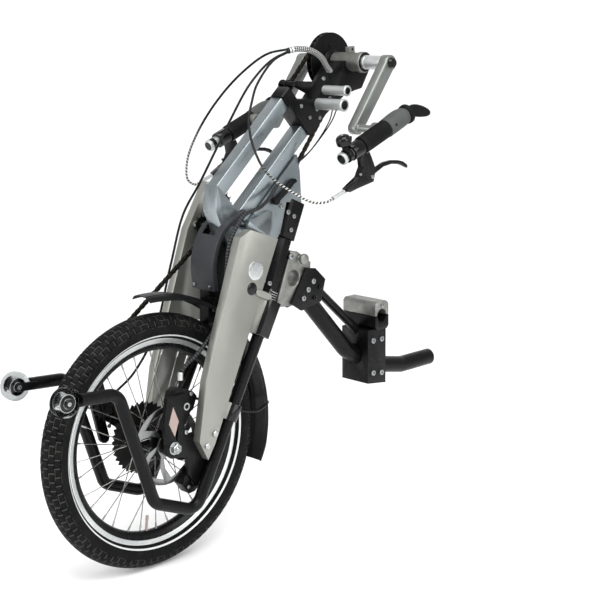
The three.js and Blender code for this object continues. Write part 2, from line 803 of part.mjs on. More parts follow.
function legLugs(side) {
  const sleeve = bar(
    standPivot, standAngle, sleeveLow, sleeveHigh,
    shiftedX(chamfered(sleeveHalf, sleeveHalf, sleeveChamfer), standX),
  );
  const sleeveLug = plate(
    [
      inStandFrame(sleeveLow, lugHalf), inStandFrame(sleeveHigh, lugHalf),
      inStandFrame(sleeveHigh, lugReach), inStandFrame(sleeveLow, lugReach),
    ],
    standX - lugHalf,
    standX + lugHalf,
  );
  const clamp = spun(
    standPivot, standAngle, [[-clampHalfLength, sleeveHalf], [clampHalfLength, sleeveHalf]], 12,
    standX,
  );
  const clampLug = plate(
    [
      inStandFrame(-clampHalfLength, lugHalf), inStandFrame(clampHalfLength, lugHalf),
      inStandFrame(clampHalfLength, clampLugReach), inStandFrame(-clampHalfLength, clampLugReach),
    ],
    standX - lugHalf,
    standX + lugHalf,
  );
  const bore = spun(
    standPivot,
    standAngle,
    [[-standReach, standTubeRadius + turningRoom], [standReach, standTubeRadius + turningRoom]],
    12,
    standX,
  );
  const lugs = cut(join(sleeve, sleeveLug, clamp, clampLug), bore);
  return side > 0 ? lugs : mirrored(lugs);
}

// Spring that holds the leg down in its latch, wound as one wire
const springRadius = 8;
const springWire = 1.1;
const springTurns = 4;
const springLength = 20;

function spring(side) {
  const curlSteps = 8;
  const foot = sleeveHigh + springWire + seat;
  const rings = [];
  const count = springTurns * curlSteps;
  for (let i = 0; i <= count; i += 1) {
    const turn = (i / curlSteps) * 360;
    const reach = foot + (springLength * i) / count;
    const h = heading(turn);
    rings.push(roundSection(springWire, 5).map(([out, up]) => {
      const radius = springRadius + out;
      return vector(inStandFrame(reach + up, radius * h.z), standX + radius * h.y);
    }));
  }
  const wound = loft(rings);
  if (side > 0) {
    console.log('spring gap', leastGap(rings, curlSteps / 2).toFixed(2));
    return wound;
  }
  return mirrored(wound);
}

// The least distance between points of a wound tube on rings that are at least some steps apart
function leastGap(rings, apart) {
  let least = Infinity;
  rings.forEach((ring, i) => rings.slice(i + apart).forEach((other) => {
    ring.forEach((p) => other.forEach((q) => {
      least = Math.min(least, p.distanceTo(q));
    }));
  }));
  return least;
}

// Spring post: the leg's own end carries the spring through the sleeve
[1, -1].forEach((side) => {
  const name = side > 0 ? 'left' : 'right';
  const own = (geometry) => (side > 0 ? geometry : mirrored(geometry));
  add(`stand_leg_${name}`, own(standLeg()), 'black');
  add(`stand_roller_${name}`, own(standRoller()), 'frosted');
  add(`stand_spring_${name}`, spring(side), 'polished');
});

// Fork blades: the far one rises above the near one and carries the two idlers
const bladeShares = [
  [-0.03, 0.035], [0.043, -0.293], [0.313, -0.47], [0.964, -0.462], [1.013, -0.235], [1.009, 0.537],
  [0.112, 0.153],
  [0.05, 0.12],
];
const farBladeShares = [
  [-0.03, 0.035], [0.043, -0.293], [0.313, -0.47], [0.964, -0.462], [1.204, -0.231], [1.211, 0.171],
  [1.124, 0.51], [1.009, 0.537], [0.112, 0.153], [0.05, 0.12],
];
const idlerBoltRadius = pulleyBore - seat;
const boltHead = 3.2;
const boltShoulder = 0.8 * pulleyBoss;
const bladePlaces = outline(bladeFoot, bladeAngle, bladeLength, -bladeWidth, bladeShares);
const farBladePlaces = outline(bladeFoot, bladeAngle, bladeLength, -bladeWidth, farBladeShares);
const bladeOuterX = bladeInnerX + bladeThickness;

// A bolt along X on the far side: shoulder to one face of a wheel, shank through it and a head
function wheelBolt(centre, rootX) {
  const face = chainX - pulleyHalfWidth - seat;
  const end = chainX + pulleyHalfWidth + seat;
  return join(
    disc(centre, boltShoulder, rootX, face, 8),
    disc(centre, idlerBoltRadius, face - seat, end + seat, 8),
    disc(centre, boltShoulder, end, end + boltHead, 6),
  );
}

add('fork_blade_left', join(plate(bladePlaces, bladeInnerX, bladeOuterX), legLugs(1)), 'silver');
add('fork_blade_right', join(
  plate(farBladePlaces, -bladeOuterX, -bladeInnerX),
  legLugs(-1),
  wheelBolt(upperIdler, -bladeInnerX - boltHead),
  wheelBolt(lowerIdler, -bladeInnerX - boltHead),
), 'silver');

// Dropouts: cut plates between the blades and the axle
const dropoutLength = 130;
const dropoutHeight = 196;
const nearDropoutShares = [
  [-0.138, -0.061], [-0.185, 0.265], [-0.108, 0.531], [0.277, 0.531], [0.369, 0.367], [0.215, 0.204],
  [0.2, 0.102], [0.492, 0.102], [0.815, 0.02], [0.815, -0.224], [0.708, -0.418], [0.4, -0.469],
  [0.262, -0.316], [0.231, -0.133], [0.062, -0.112], [-0.062, -0.102],
];
const kiteShares = [[0, 0.429], [-0.092, 0.26], [0.015, 0.112], [0.1, 0.265]];
const farDropoutShares = [
  [-0.138, -0.071], [-0.185, 0.061], [-0.4, 0.163], [-0.431, 0.276], [-0.277, 0.296], [-0.108, 0.173],
  [0.2, 0.102], [0.492, 0.102], [0.815, 0.02], [0.815, -0.224], [0.708, -0.347], [0.462, -0.316],
  [0.262, -0.163], [0.062, -0.112], [-0.062, -0.102],
];
const dropoutOuter = bladeInnerX - seat;
const dropoutInner = dropoutOuter - dropoutThickness;
const axleHole = circle(axle, axleRadius + seat, 16);

function dropout(side, shares, windows) {
  const body = sidePlate(
    side,
    laid(axle, dropoutLength, dropoutHeight, shares),
    dropoutInner,
    dropoutOuter,
    [axleHole, ...windows],
  );
  const relief = pipe(legRoute, standTubeRadius + turningRoom, 12);
  return cut(body, side > 0 ? relief : mirrored(relief));
}
add(
  'dropout_left',
  dropout(1, nearDropoutShares, [laid(axle, dropoutLength, dropoutHeight, kiteShares)]), 'black',
);
add('dropout_right', dropout(-1, farDropoutShares, []), 'black');

// Wheel axle with a domed nut outside each dropout
const nutRadius = 11;
const nutDepth = 8;
const nutDome = 3;
const axleTipRadius = 4;
const axleEnd = bladeInnerX + nutDepth + nutDome;
add('wheel_axle', turned([
  [0, -axleEnd], [axleTipRadius, -axleEnd], [nutRadius, -bladeInnerX - nutDepth / 2],
  [nutRadius, -bladeInnerX],
  [axleRadius, -bladeInnerX], [axleRadius, bladeInnerX], [nutRadius, bladeInnerX],
  [nutRadius, bladeInnerX + nutDepth / 2], [axleTipRadius, axleEnd], [0, axleEnd],
], axle, 10), 'steel');

// Brake calipers that straddle the rotor
const caliperLength = 58;
const caliperHeight = 44;
const caliperInnerX = 34;
const caliperOuterX = dropoutInner - seat;
const rotorClearance = 1.2;
const hoseInset = 8;
const adjusterHalf = 2;
const hoseRadius = 4;
const caliperShares = [
  [-0.5, -0.28], [-0.36, -0.5], [0.3, -0.5], [0.5, -0.3], [0.5, 0.34], [0.28, 0.5], [-0.34, 0.5],
  [-0.5, 0.22],
];
const rotorSlot = disc(
  axle,
  rotorRadius + rotorClearance,
  rotorX - rotorThickness / 2 - rotorClearance,
  rotorX + rotorThickness / 2 + rotorClearance,
  36,
);

// The hose stub of a caliper, from its root to its mouth
function stubEnds({ angle, reach, stub }) {
  const centre = along(axle, angle, reach);
  return stub.map(([a, b]) => (
    vector(along(centre, angle - 90, a * caliperLength, b * caliperHeight), caliperOuterX - hoseInset)
  ));
}
const upperCaliper = { angle: 68, reach: 94, adjuster: 11, stub: [[-0.2, 0.4], [-0.3, 0.85]] };
const lowerCaliper = { angle: -54, reach: 96, adjuster: 14, stub: [[-0.4, 0], [-0.71, 0]] };

function caliper(kind) {
  const centre = along(axle, kind.angle, kind.reach);
  const lean = kind.angle - 90;
  const body = plate(
    outline(centre, lean, caliperLength, caliperHeight, caliperShares), caliperInnerX, caliperOuterX,
  );
  const knob = disc(centre, kind.adjuster, caliperInnerX - adjusterHalf, caliperInnerX + adjusterHalf, 16);
  const hose = rod(...stubEnds(kind), hoseRadius, 8);
  return cut(join(body, knob, hose), rotorSlot);
}
add('brake_caliper_upper', caliper(upperCaliper), 'black');
add('brake_caliper_lower', caliper(lowerCaliper), 'black');

// Mudguard: a crowned strip about the axle, with a stay to each blade and a bracket under the cover
const guardOuter = 297;
const guardEdge = 288;
const guardHalfWidth = 32;
const guardSkin = 2.5;
const guardFrom = -21;
const guardTo = 93;
const guardSteps = 12;
const stayAngle = 4;
const stayRadius = 3;

function mudguard() {
  const across = [-1, -0.65, 0, 0.65, 1];
  const drop = guardOuter - guardEdge;
  const rings = [];
  for (let i = 0; i <= guardSteps; i += 1) {
    const angle = guardFrom + ((guardTo - guardFrom) * i) / guardSteps;
    const outer = across.map(
      (x) => vector(along(axle, angle, guardOuter - drop * x ** 4), x * guardHalfWidth),
    );
    const inner = across.map((x) => (
      vector(along(axle, angle, guardOuter - guardSkin - drop * x ** 4), x * guardHalfWidth)
    ));
    rings.push([...outer, ...inner.reverse()]);
  }
  const stayFoot = along(bladeFoot, bladeAngle, bladeWidth * 0.9, -bladeWidth * 0.06);
  const stays = [1, -1].flatMap((side) => [
    rod(
      vector(along(axle, stayAngle, guardEdge - guardSkin / 2), side * (guardHalfWidth - stayRadius)),
      vector(stayFoot, side * (bladeInnerX - 2 * stayRadius)),
      stayRadius,
      6,
    ),
    disc(stayFoot, 2 * stayRadius, ...sided(side, bladeInnerX - 3 * stayRadius, bladeInnerX - seat), 10),
  ]);
  return join(loft(rings), ...stays);
}

// Cover shell in front of the crown, open in the middle round its core, and the bracket under it
const coverHalf = 36;
const coverSkin = 3;
const coverLip = 12;
const coverSlot = 20.6;
const coverWindow = 60;
const coverLift = 20.5;
const coverFootAngle = 63.8;
const coverBulge = 14;
const coverShares = [[-0.506, 0.071], [-0.192, 0.306], [0.171, 0.443]];
const coverFoot = along(axle, coverFootAngle, guardOuter + coverLift);
const coverUpper = laid(bladeTop, bladeWidth, bladeWidth, coverShares);
const coverFront = offset(mix(coverFoot, coverUpper[0], 0.5), { y: -coverBulge, z: 0 });
const coverPlaces = [coverFoot, coverFront, ...coverUpper];
const inset = (places, depth) => grown([...places, bladeTop], -depth).slice(0, places.length);
const strip = (places, depth) => [...places, ...inset(places, depth).reverse()];

function coverShell() {
  const hollow = [inset(coverPlaces, coverSkin), inset(coverPlaces, coverLip + overrun)].map((line) => [
    along(line[0], -90, coverLip), ...line, along(line[line.length - 1], 0, coverLip),
  ]);
  const room = plate([...hollow[0], ...hollow[1].reverse()], coverSkin - coverHalf, coverHalf - coverSkin);
  const slot = plate(
    [
      along(coverPlaces[2], -90, coverLip), along(coverPlaces[2], 90, coverWindow),
      offset(coverPlaces[4], { y: coverLip, z: coverWindow }),
      offset(coverPlaces[4], { y: coverLip, z: -coverWindow }),
    ],
    -coverSlot,
    coverSlot,
  );
  return cut(plate(strip(coverPlaces, coverLip), -coverHalf, coverHalf), room, slot);
}
add('cover_shell', coverShell(), 'plastic');

const bracketHalf = 14;
const bracketTopShares = [[-0.771, -0.145], [-0.251, -0.145], [-0.016, -0.655]];
const bracketFeet = [[46.7, 291.5], [57.3, 252]].map(([angle, radius]) => (
  along(axle, angle, (radius * guardOuter) / 297)
));
const insideCover = inset(coverPlaces, coverSkin + seat);
const beyondCover = [[-1.2, 1], [-1.2, -2]];
add('mudguard', join(mudguard(), cut(
  plate(
    [...laid(bladeTop, bladeWidth, bladeWidth, bracketTopShares), ...bracketFeet], -bracketHalf,
    bracketHalf,
  ),
  plate([
    along(insideCover[0], -90, coverLip * 2), ...insideCover,
    ...laid(bladeTop, bladeWidth, bladeWidth, beyondCover),
  ], -coverHalf, coverHalf),
  disc(axle, guardOuter - guardSkin / 2, -coverHalf, coverHalf, 60),
)), 'black');

// Steering column: the block and its steerer turn inside the head tube
const columnTop = offset(bladeTop, columnTopOffset);
const columnHalf = columnWidth / 2;
const steererEnd = -240;
const blockLow = -columnBlockLength;
const headHigh = blockLow - 2 * runningGap;
const headLow = headHigh - headTubeLength;
const steererNut = 20;
const blockChamfer = 6;
const headChamfer = 13.5;
add('steering_column', join(
  bar(columnTop, columnAngle, blockLow, 0, chamfered(columnHalf, columnHalf, blockChamfer)),
  spun(columnTop, columnAngle, [[steererEnd, steererRadius], [blockLow + seat, steererRadius]], 16),
  spun(columnTop, columnAngle, [[steererEnd, steererNut], [headLow - runningGap, steererNut]], 6),
), 'black');
add('head_tube', cut(
  bar(columnTop, columnAngle, headLow, headHigh, chamfered(columnHalf, columnHalf, headChamfer)),
  spun(
    columnTop,
    columnAngle,
    [[headLow - overrun, steererRadius + runningGap], [headHigh + overrun, steererRadius + runningGap]],
    16,
  ),
), 'black');

// Mast tubes: square and open at both ends
const mastHalf = mastTubeWidth / 2;
const rearFoot = along(mastFoot, mastAngle, 0, -mastSpacing);

function mastTube(foot) {
  return cut(
    bar(foot, mastAngle, seat, mastLength, box(mastHalf)),
    bar(foot, mastAngle, -overrun, mastLength + overrun, box(mastHalf - mastWall)),
  );
}
add('mast_tube_front', mastTube(mastFoot), 'silver');
add('mast_tube_rear', mastTube(rearFoot), 'silver');

// Fork crown: core, gusset and the two wings that reach the blades, one welded body
const crownHalf = 20;
const wingX = crownHalf / 2;
const crownShares = [
  [-0.437, 0.959], [0.327, 0.12], [0.524, 0.286], [1.739, 1.384], [1.818, 1.031], [1.857, 0.35],
  [1.425, 0.443], [1.239, -0.184], [1.014, -0.42], [0.837, -0.537], [0.004, -0.684], [-0.241, -0.145],
  [-0.486, 0.443],
];
const nearWingShares = [[-0.143, 0.125], [-0.065, 0.257], [0.465, -0.096]];
const nearWingRootShares = [[0.347, 0.257], [1.131, 0.345], [1.131, 0.002], [0.543, -0.096]];
const farWingShares = [[-0.143, -0.684], [-0.025, -0.224], [0.406, -0.224], [0.249, -0.684]];
const farWingRootShares = [[0.2, -0.537], [0.249, -0.047], [0.837, -0.145], [0.739, -0.488]];
const inCrown = (shares) => laid(bladeTop, bladeWidth, bladeWidth, shares);

function crown() {
  const core = plate(inCrown(crownShares), -crownHalf, crownHalf);
  const nearWing = arm(inCrown(nearWingShares), bladeInnerX - seat, inCrown(nearWingRootShares), wingX);
  const farWing = arm(inCrown(farWingShares), -bladeInnerX + seat, inCrown(farWingRootShares), -wingX);
  const room = [
    [crownHalf * 2, mastHalf + seat], [-crownHalf * 2, mastHalf + seat],
    [-crownHalf * 2, -mastHalf - seat], [crownHalf * 2, -mastHalf - seat],
  ];
  const rearTube = bar(rearFoot, mastAngle, -overrun, mastLength + overrun, room);
  const frontTube = bar(mastFoot, mastAngle, 0, mastLength + overrun, room);
  const columnRoom = bar(
    columnTop,
    columnAngle,
    blockLow - columnBlockLength,
    seat,
    chamfered(columnHalf + seat, columnHalf + seat, blockChamfer),
  );
  return cut(join(core, nearWing, farWing), rearTube, frontTube, columnRoom);
}
add('fork_crown', crown(), 'silver');

// Head bracket: black block on the mast ends with tongues inside both tubes
const bracketWidth = 22;
const headBracketLength = crankAlong + 1.6 * shellRadius;
const headBracketShares = [
  [-0.003, 0.05], [0.285, -0.24], [0.739, -0.195], [1, -0.43], [0.965, -0.547], [0.791, -0.596],
  [0.599, -0.482], [0.289, -0.432], [-0.01, -0.423],
];
const tongueLength = 30;
const tubeTongueHalf = mastHalf - mastWall - seat;
const capLobeLength = 28;
const capLobeHalf = 18;
const guideLobeRadius = 13;
const guideBarRadius = 5;
const guideLobeWidth = 3;
const lobeChamfer = 3;
const guideRise = guideLobeRadius + 1;
const guideFootShares = [[0.37, -0.22], [0.49, -0.22], [0.37, -0.33]];

const guideTangent = chainParts[3];

function headBracket() {
  const places = outline(mastTop, mastAngle, headBracketLength, headBracketLength, headBracketShares);
  const body = plate(places, -bracketWidth, bracketWidth);
  const behind = bar(mastTop, mastAngle, -2 * capLobeLength, seat, [
    [bracketWidth * 2, mastSpacing], [-bracketWidth * 2, mastSpacing],
    [-bracketWidth * 2, -2 * mastSpacing], [bracketWidth * 2, -2 * mastSpacing],
  ]);
  const saddle = disc(crank, shellRadius + seat, -2 * bracketWidth, 2 * bracketWidth, 24);
  const tongues = [0, -mastSpacing].map((left) => bar(
    along(mastTop, mastAngle, 0, left),
    mastAngle,
    -tongueLength,
    tongueLength / 2,
    box(tubeTongueHalf),
  ));
  const lobe = bar(mastTop, mastAngle, seat, capLobeLength, chamfered(capLobeHalf, capLobeHalf, lobeChamfer));
  const slackPlace = mix(guideTangent.a, guideTangent.b, 0.3);
  const above = along(slackPlace, mastAngle, 0, guideRise);
  const guideBar = disc(
    above, guideBarRadius, chainX - outerLinkWidth - guideLobeWidth, -bracketWidth / 2, 8,
  );
  const guideFoot = arm(
    circle(above, guideBarRadius, 8),
    -bracketWidth,
    outline(mastTop, mastAngle, headBracketLength, headBracketLength, guideFootShares),
    -bracketWidth / 2,
  );
  const lobePlace = along(slackPlace, mastAngle, 0, guideLobeRadius / 2);
  const lobes = [-outerLinkWidth - guideLobeWidth, outerLinkWidth].map((x) => (
    disc(lobePlace, guideLobeRadius, chainX + x, chainX + x + guideLobeWidth, 12)
  ));
  return join(cut(body, behind, saddle), ...tongues, lobe, guideBar, guideFoot, ...lobes);
}
add('head_bracket', headBracket(), 'black');

// Bottom bracket shell with its end ring and the tab of the cable stop
const endRing = 22;
const endRingWidth = 12;
const bearingGap = 0.6;
const tabHeight = 34;
add('bottom_bracket_shell', cut(
  join(
    disc(crank, shellRadius, -shellInnerX, shellOuterX, 18),
    disc(crank, endRing, shellOuterX - endRingWidth, shellOuterX, 18),
    plate([
      along(crank, 112, tabHeight), along(crank, 84, tabHeight),
      along(crank, 70, shellRadius / 2), along(crank, 126, shellRadius / 2),
    ], shellInnerX / 2, shellInnerX),
  ),
  disc(crank, crankAxleRadius + bearingGap, -shellInnerX - overrun, shellOuterX + overrun, 12),
), 'silver');

// Two pegs along X beside the mast head, each with a collar at its end
const pegKinds = [
  { name: 'cross_peg_lower', place: [[0.365, -0.027]][0], radius: 12, reach: 77.3 },
  { name: 'cross_peg_upper', place: [[0.447, 0.087]][0], radius: 10, reach: 67.3 },
];
const pegCollar = 1.5;
const pegCollarWidth = 7;
pegKinds.forEach(({ name, place, radius, reach }) => {
  const start = bracketWidth + seat;
  const end = start + reach;
  const wide = radius + pegCollar;
  add(name, turned([
    [0, start], [radius, start], [radius, end - pegCollarWidth], [wide, end - pegCollarWidth],
    [wide, end - pegCollar], [radius - 2 * pegCollar, end], [0, end],
  ], laid(mastTop, mastLength, mastLength, [place])[0], 10), 'polished');
});

// Crank axle with its two sleeves
const sleeveRadius = 15;
const axleTipOut = 6;
const axleTip = crankInnerX + crankThickness + axleTipOut;
const sleeveStartLeft = shellOuterX + seat;
const sleeveStartRight = chainX - guardStandOff - guardThickness - seat;
add('crank_axle', turned([
  [0, -axleTip], [crankAxleRadius, -axleTip], [crankAxleRadius, -crankInnerX + seat],
  [sleeveRadius, -crankInnerX + seat], [sleeveRadius, sleeveStartRight],
  [crankAxleRadius, sleeveStartRight], [crankAxleRadius, sleeveStartLeft], [sleeveRadius, sleeveStartLeft],
  [sleeveRadius, crankInnerX - seat], [crankAxleRadius, crankInnerX - seat],
  [crankAxleRadius, axleTip], [0, axleTip],
], crank, 10), 'silver');

// Crank arms, parallel to one another, each with the spindle of its grip
const crankEnd = along(crank, crankAngle, crankLength);
const bossRadius = 17;
const armEndRadius = 13.5;
const spindleTip = gripX + gripBarRadius;

function crankArm(side) {
  const low = crankInnerX;
  const high = crankInnerX + crankThickness;
  const shaft = sidePlate(side, [
    ...arc(crank, bossRadius, crankAngle + 60, crankAngle + 300, 10),
    ...arc(crankEnd, armEndRadius, crankAngle - 75, crankAngle + 75, 6),
  ], low, high);
  const bore = disc(crank, crankAxleRadius + seat, -axleTip - overrun, axleTip + overrun, 12);
  const spindle = disc(
    crankEnd, spindleRadius, ...sided(side, low + crankThickness / 2, spindleTip - seat), 12,
  );
  return cut(join(shaft, spindle), bore);
}
add('crank_arm_left', crankArm(1), 'silver');
add('crank_arm_right', crankArm(-1), 'silver');

// Hand grips: a bar with a hub on the spindle, a sleeve over both and the lever bracket on its front end
const gripHubRadius = 14.5;
const gripHubStart = 174;
const sleeveFront = -72;
const sleeveStep = 8;
const sleeveBack = 70;
const collarBack = 83;
const clampFront = -105;
const clampBack = -75;
const barCapRise = 2;
const barCapReach = 5;
const barCapHalf = 3;
const hubOut = 2;
const gripStep = 1;
const collarRise = 2;
const collarTaper = 3;
const paddleLength = 62;
const paddleThickness = 7;
const paddleShares = [[0.3, 0.75], [0.8, 0.2], [1, -0.3], [0.9, -0.75], [0.45, -0.7]];
const paddleRoot = 8;
const inGrip = (forward, left = 0) => along(crankEnd, gripAngle, forward, left);
const gripSpun = (side, profile, sides) => spun(crankEnd, gripAngle, profile, sides, side * gripX);

function gripBar(side) {
  const tube = gripSpun(side, [[-gripFront, gripBarRadius], [sleeveBack, gripBarRadius]], 10);
  const cap = gripSpun(side, [
    [-gripFront - barCapReach, gripBarRadius], [-gripFront - barCapHalf, gripBarRadius + barCapRise],
    [-gripFront + barCapHalf, gripBarRadius + barCapRise],
  ], 10);
  const hubDisc = disc(crankEnd, gripHubRadius, ...sided(side, gripHubStart, spindleTip + hubOut), 12);
  const bore = disc(crankEnd, spindleRadius + seat, ...sided(side, gripHubStart - overrun, spindleTip), 12);
  return cut(join(tube, cap, hubDisc), bore);
}

function gripSleeve(side) {
  const outside = gripSpun(side, [
    [sleeveFront, gripRadius - gripStep], [sleeveFront + collarTaper, gripRadius], [sleeveStep, gripRadius],
    [sleeveStep + gripStep, gripRadius - gripStep], [sleeveBack, gripRadius - gripStep],
    [sleeveBack + gripStep, gripRadius + collarRise], [collarBack - collarTaper, gripRadius + collarRise],
    [collarBack, gripRadius - 2 * collarRise],
  ], 10);
  const room = gripSpun(side, [
    [sleeveFront - overrun, gripBarRadius + seat], [sleeveBack + seat, gripBarRadius + seat],
  ], 10);
  const hubRoom = disc(
    crankEnd,
    gripHubRadius + seat,
    ...sided(side, gripHubStart - overrun, spindleTip + hubOut + seat),
    12,
  );
  const paddle = sidePlate(side, [
    inGrip(collarBack - paddleRoot, -gripRadius * 0.6), inGrip(collarBack - paddleRoot, gripRadius * 0.7),
    ...paddleShares.map(([a, b]) => (
      inGrip(collarBack + a * paddleLength, b * gripRadius - a * gripRadius)
    )),
  ], gripX - paddleThickness / 2, gripX + paddleThickness / 2);
  return cut(join(outside, paddle), room, hubRoom);
}

// Brake lever bracket: clamp ring, body with a slot, pivot pin and cable ferrule
const leverFrom = crankEnd;
const leverBodyShares = [
  [-0.573, -0.283], [-0.526, -0.533], [-0.612, -0.689], [-0.807, -0.798], [-0.893, -0.853],
  [-0.83, -0.9], [-0.674, -0.861], [-0.291, -0.783], [-0.245, -0.588], [-0.323, -0.431],
  [-0.44, -0.213],
];
const pivotShare = [[-0.323, -0.705]];
const leverShares = [
  [-0.323, -0.705], [-0.221, -0.627], [-0.026, -0.541], [0.162, -0.517], [0.334, -0.533],
  [0.443, -0.564], [0.552, -0.619],
];
const ferruleShares = [[-0.877, -0.877], [-1.159, -0.97]];
const leverBodyHalf = 8;
const leverHalf = 4;
const slotRadius = 24;
const clampRise = 6;
const leverHalves = [5, 5, 4.5, 4, 4, 4.5, 3.5];
const pinRadius = 3;
const leverEye = 7.5;
const ferruleRadius = 4.2;
const leverPivot = laid(leverFrom, gripFront, gripFront, pivotShare)[0];
const ferruleEnds = laid(leverFrom, gripFront, gripFront, ferruleShares);

function leverBracket(side) {
  const x = side * gripX;
  const ring = gripSpun(
    side, [[clampFront, gripBarRadius + clampRise], [clampBack, gripBarRadius + clampRise]], 12,
  );
  const body = sidePlate(
    side,
    laid(leverFrom, gripFront, gripFront, leverBodyShares),
    gripX - leverBodyHalf,
    gripX + leverBodyHalf,
  );
  const ferrule = rod(...ferruleEnds.map((p) => vector(p, x)), ferruleRadius, 8);
  const barRoom = gripSpun(side, [
    [-gripFront - overrun, gripBarRadius + seat], [sleeveFront, gripBarRadius + seat],
  ], 10);
  const sleeveRoom = gripSpun(side, [
    [sleeveFront - 2 * seat, gripRadius + 2 * seat], [sleeveStep, gripRadius + 2 * seat],
  ], 14);
  const slot = disc(leverPivot, slotRadius, x - leverHalf - runningGap, x + leverHalf + runningGap, 14);
  const pin = disc(leverPivot, pinRadius, x - leverBodyHalf, x + leverBodyHalf, 12);
  return join(cut(join(ring, body, ferrule), barRoom, sleeveRoom, slot), pin);
}

function brakeLever(side) {
  const x = side * gripX;
  const places = laid(leverFrom, gripFront, gripFront, leverShares);
  const upper = places.map((p, i) => offset(p, { y: 0, z: leverHalves[i] }));
  const lower = places.map((p, i) => offset(p, { y: 0, z: -leverHalves[i] }));
  const blade = plate([...lower, ...upper.reverse()], x - leverHalf, x + leverHalf);
  const eye = disc(leverPivot, leverEye, x - leverHalf, x + leverHalf, 14);
  return cut(join(blade, eye), disc(leverPivot, pinRadius + seat, x - 2 * leverHalf, x + 2 * leverHalf, 12));
}

[1, -1].forEach((side) => {
  const name = side > 0 ? 'left' : 'right';
  add(`grip_bar_${name}`, gripBar(side), 'silver');
  add(`grip_sleeve_${name}`, gripSleeve(side), 'rubber');
  add(`lever_bracket_${name}`, leverBracket(side), 'black');
  add(`brake_lever_${name}`, brakeLever(side), 'black');
});

// Bell on the near bar, in front of the lever bracket: a ring with a stalk that carries the dome
const bellRise = 33;
const bellRadius = 15;
const bellBandHalf = 6;
const bellBandRadius = gripBarRadius + 4;
const bellFromEnd = 14;
const bellDome = [[-12, 0.3], [-11, 0.7], [-9, 1], [2, 1], [8, 0.8], [11, 0.35]];
const bellPlace = inGrip(bellFromEnd - gripFront);
const bellTop = along(bellPlace, gripAngle, 0, bellRise);
add('bell', cut(
  join(
    spun(bellPlace, gripAngle, [[-bellBandHalf, bellBandRadius], [bellBandHalf, bellBandRadius]], 10, gripX),
    spun(bellTop, gripAngle + 90, [
      [gripBarRadius - bellRise, 0.3 * bellRadius], ...bellDome.map(([s, r]) => [s, r * bellRadius]),
    ], 10, gripX),
  ),
  spun(
    bellPlace, gripAngle, [[-bellFromEnd, gripBarRadius + seat], [bellFromEnd, gripBarRadius + seat]],
    10, gripX,
  ),
), 'black');

// Dock: the casting behind the head tube, its side plates, the boom and the strut under the seat
const castingShares = [
  [-0.381, -1.216], [-0.126, -0.571], [-0.014, -0.593], [0.208, -0.749], [0.197, -0.843],
  [-0.092, -1.238],
];
const castingHalf = 19;
const dockScale = columnTopOffset.y;
const sidePlateShares = [
  [0.097, -0.804], [0.252, -0.827], [0.419, -0.982], [0.341, -1.249], [0.013, -1.31], [-0.159, -1.199],
];
const sidePlateThickness = 6;
const headRoom = bar(
  columnTop,
  columnAngle,
  headLow - overrun,
  headHigh + overrun,
  chamfered(columnHalf + seat, columnHalf + seat, headChamfer),
);
const inDock = (shares) => laid(columnTop, dockScale, dockScale, shares);
const boomShares = [
  [0.074, -1.054], [0.913, -1.977], [1.419, -2.26], [1.958, -2.366], [2.53, -2.366],
];
const boomBend = 70;
const boomRoute = rounded(inDock(boomShares).map((p) => vector(p, 0)), boomBend, 2);
const boomClearance = 0.3;
const knobRadius = 12;
const knobLength = 10;
const knobNeck = 7;
const knobEdge = 2;
const knobStart = castingHalf + knobNeck;
const knobPlace = [[0.019, -0.682]];
const windowPlace = [[-0.081, -0.904]];
const windowRadius = 17;

function dockCasting() {
  const body = plate(inDock(castingShares), -castingHalf, castingHalf, [
    circle(inDock(windowPlace)[0], windowRadius, 16),
  ]);
  const boomRoom = pipe(boomRoute, boomRadius + boomClearance, 10);
  const knob = turned([
    [0, castingHalf - seat], [knobRadius / 2, castingHalf - seat], [knobRadius / 2, knobStart],
    [knobRadius, knobStart + knobEdge], [knobRadius, knobStart + knobLength],
    [0, knobStart + knobLength + knobEdge],
  ], inDock(knobPlace)[0], 14);
  return join(cut(body, headRoom, boomRoom), knob);
}
add('dock_casting', dockCasting(), 'castAlloy');
[1, -1].forEach((side) => {
  const low = castingHalf + seat;
  const cheek = sidePlate(side, inDock(sidePlateShares), low, low + sidePlateThickness);
  add(`dock_side_plate_${side > 0 ? 'left' : 'right'}`, cheek, 'black');
});
const boomWall = 3;
const boomBore = boomRadius - boomWall;
const boomPlug = 60;

function boom() {
  const outside = pipe(boomRoute, boomRadius, 10);
  const last = boomRoute[boomRoute.length - 1];
  const bore = rod(last.clone().setY(last.y - boomPlug), last.clone().setY(last.y + overrun), boomBore, 10);
  return cut(outside, bore);
}
add('boom_tube', boom(), 'black');

// Post over the boom, welded with its strut and the lower half of the seat frame clamp; the cap is loose
const postShares = [[1.086, -2.416], [1.419, -2.46], [1.419, -1.732], [1.086, -1.732]];
const postHalf = 40;
const crossBarRadius = 11;
const strutShares = [[0.319, -1.049], [1.13, -1.771]];
const strutEnds = inDock(strutShares);
const postPlaces = inDock(postShares);
const clampHalfX = 50;
const clampDepth = 44;
const clampHeight = 64;
const clampBore = 15;
const clampCentre = along(mix(postPlaces[2], postPlaces[3], 0.4), 90, clampHeight / 2 - seat);
const clampShoulder = 0.4 * clampHeight;
const clampTopHalf = 0.36 * clampDepth;

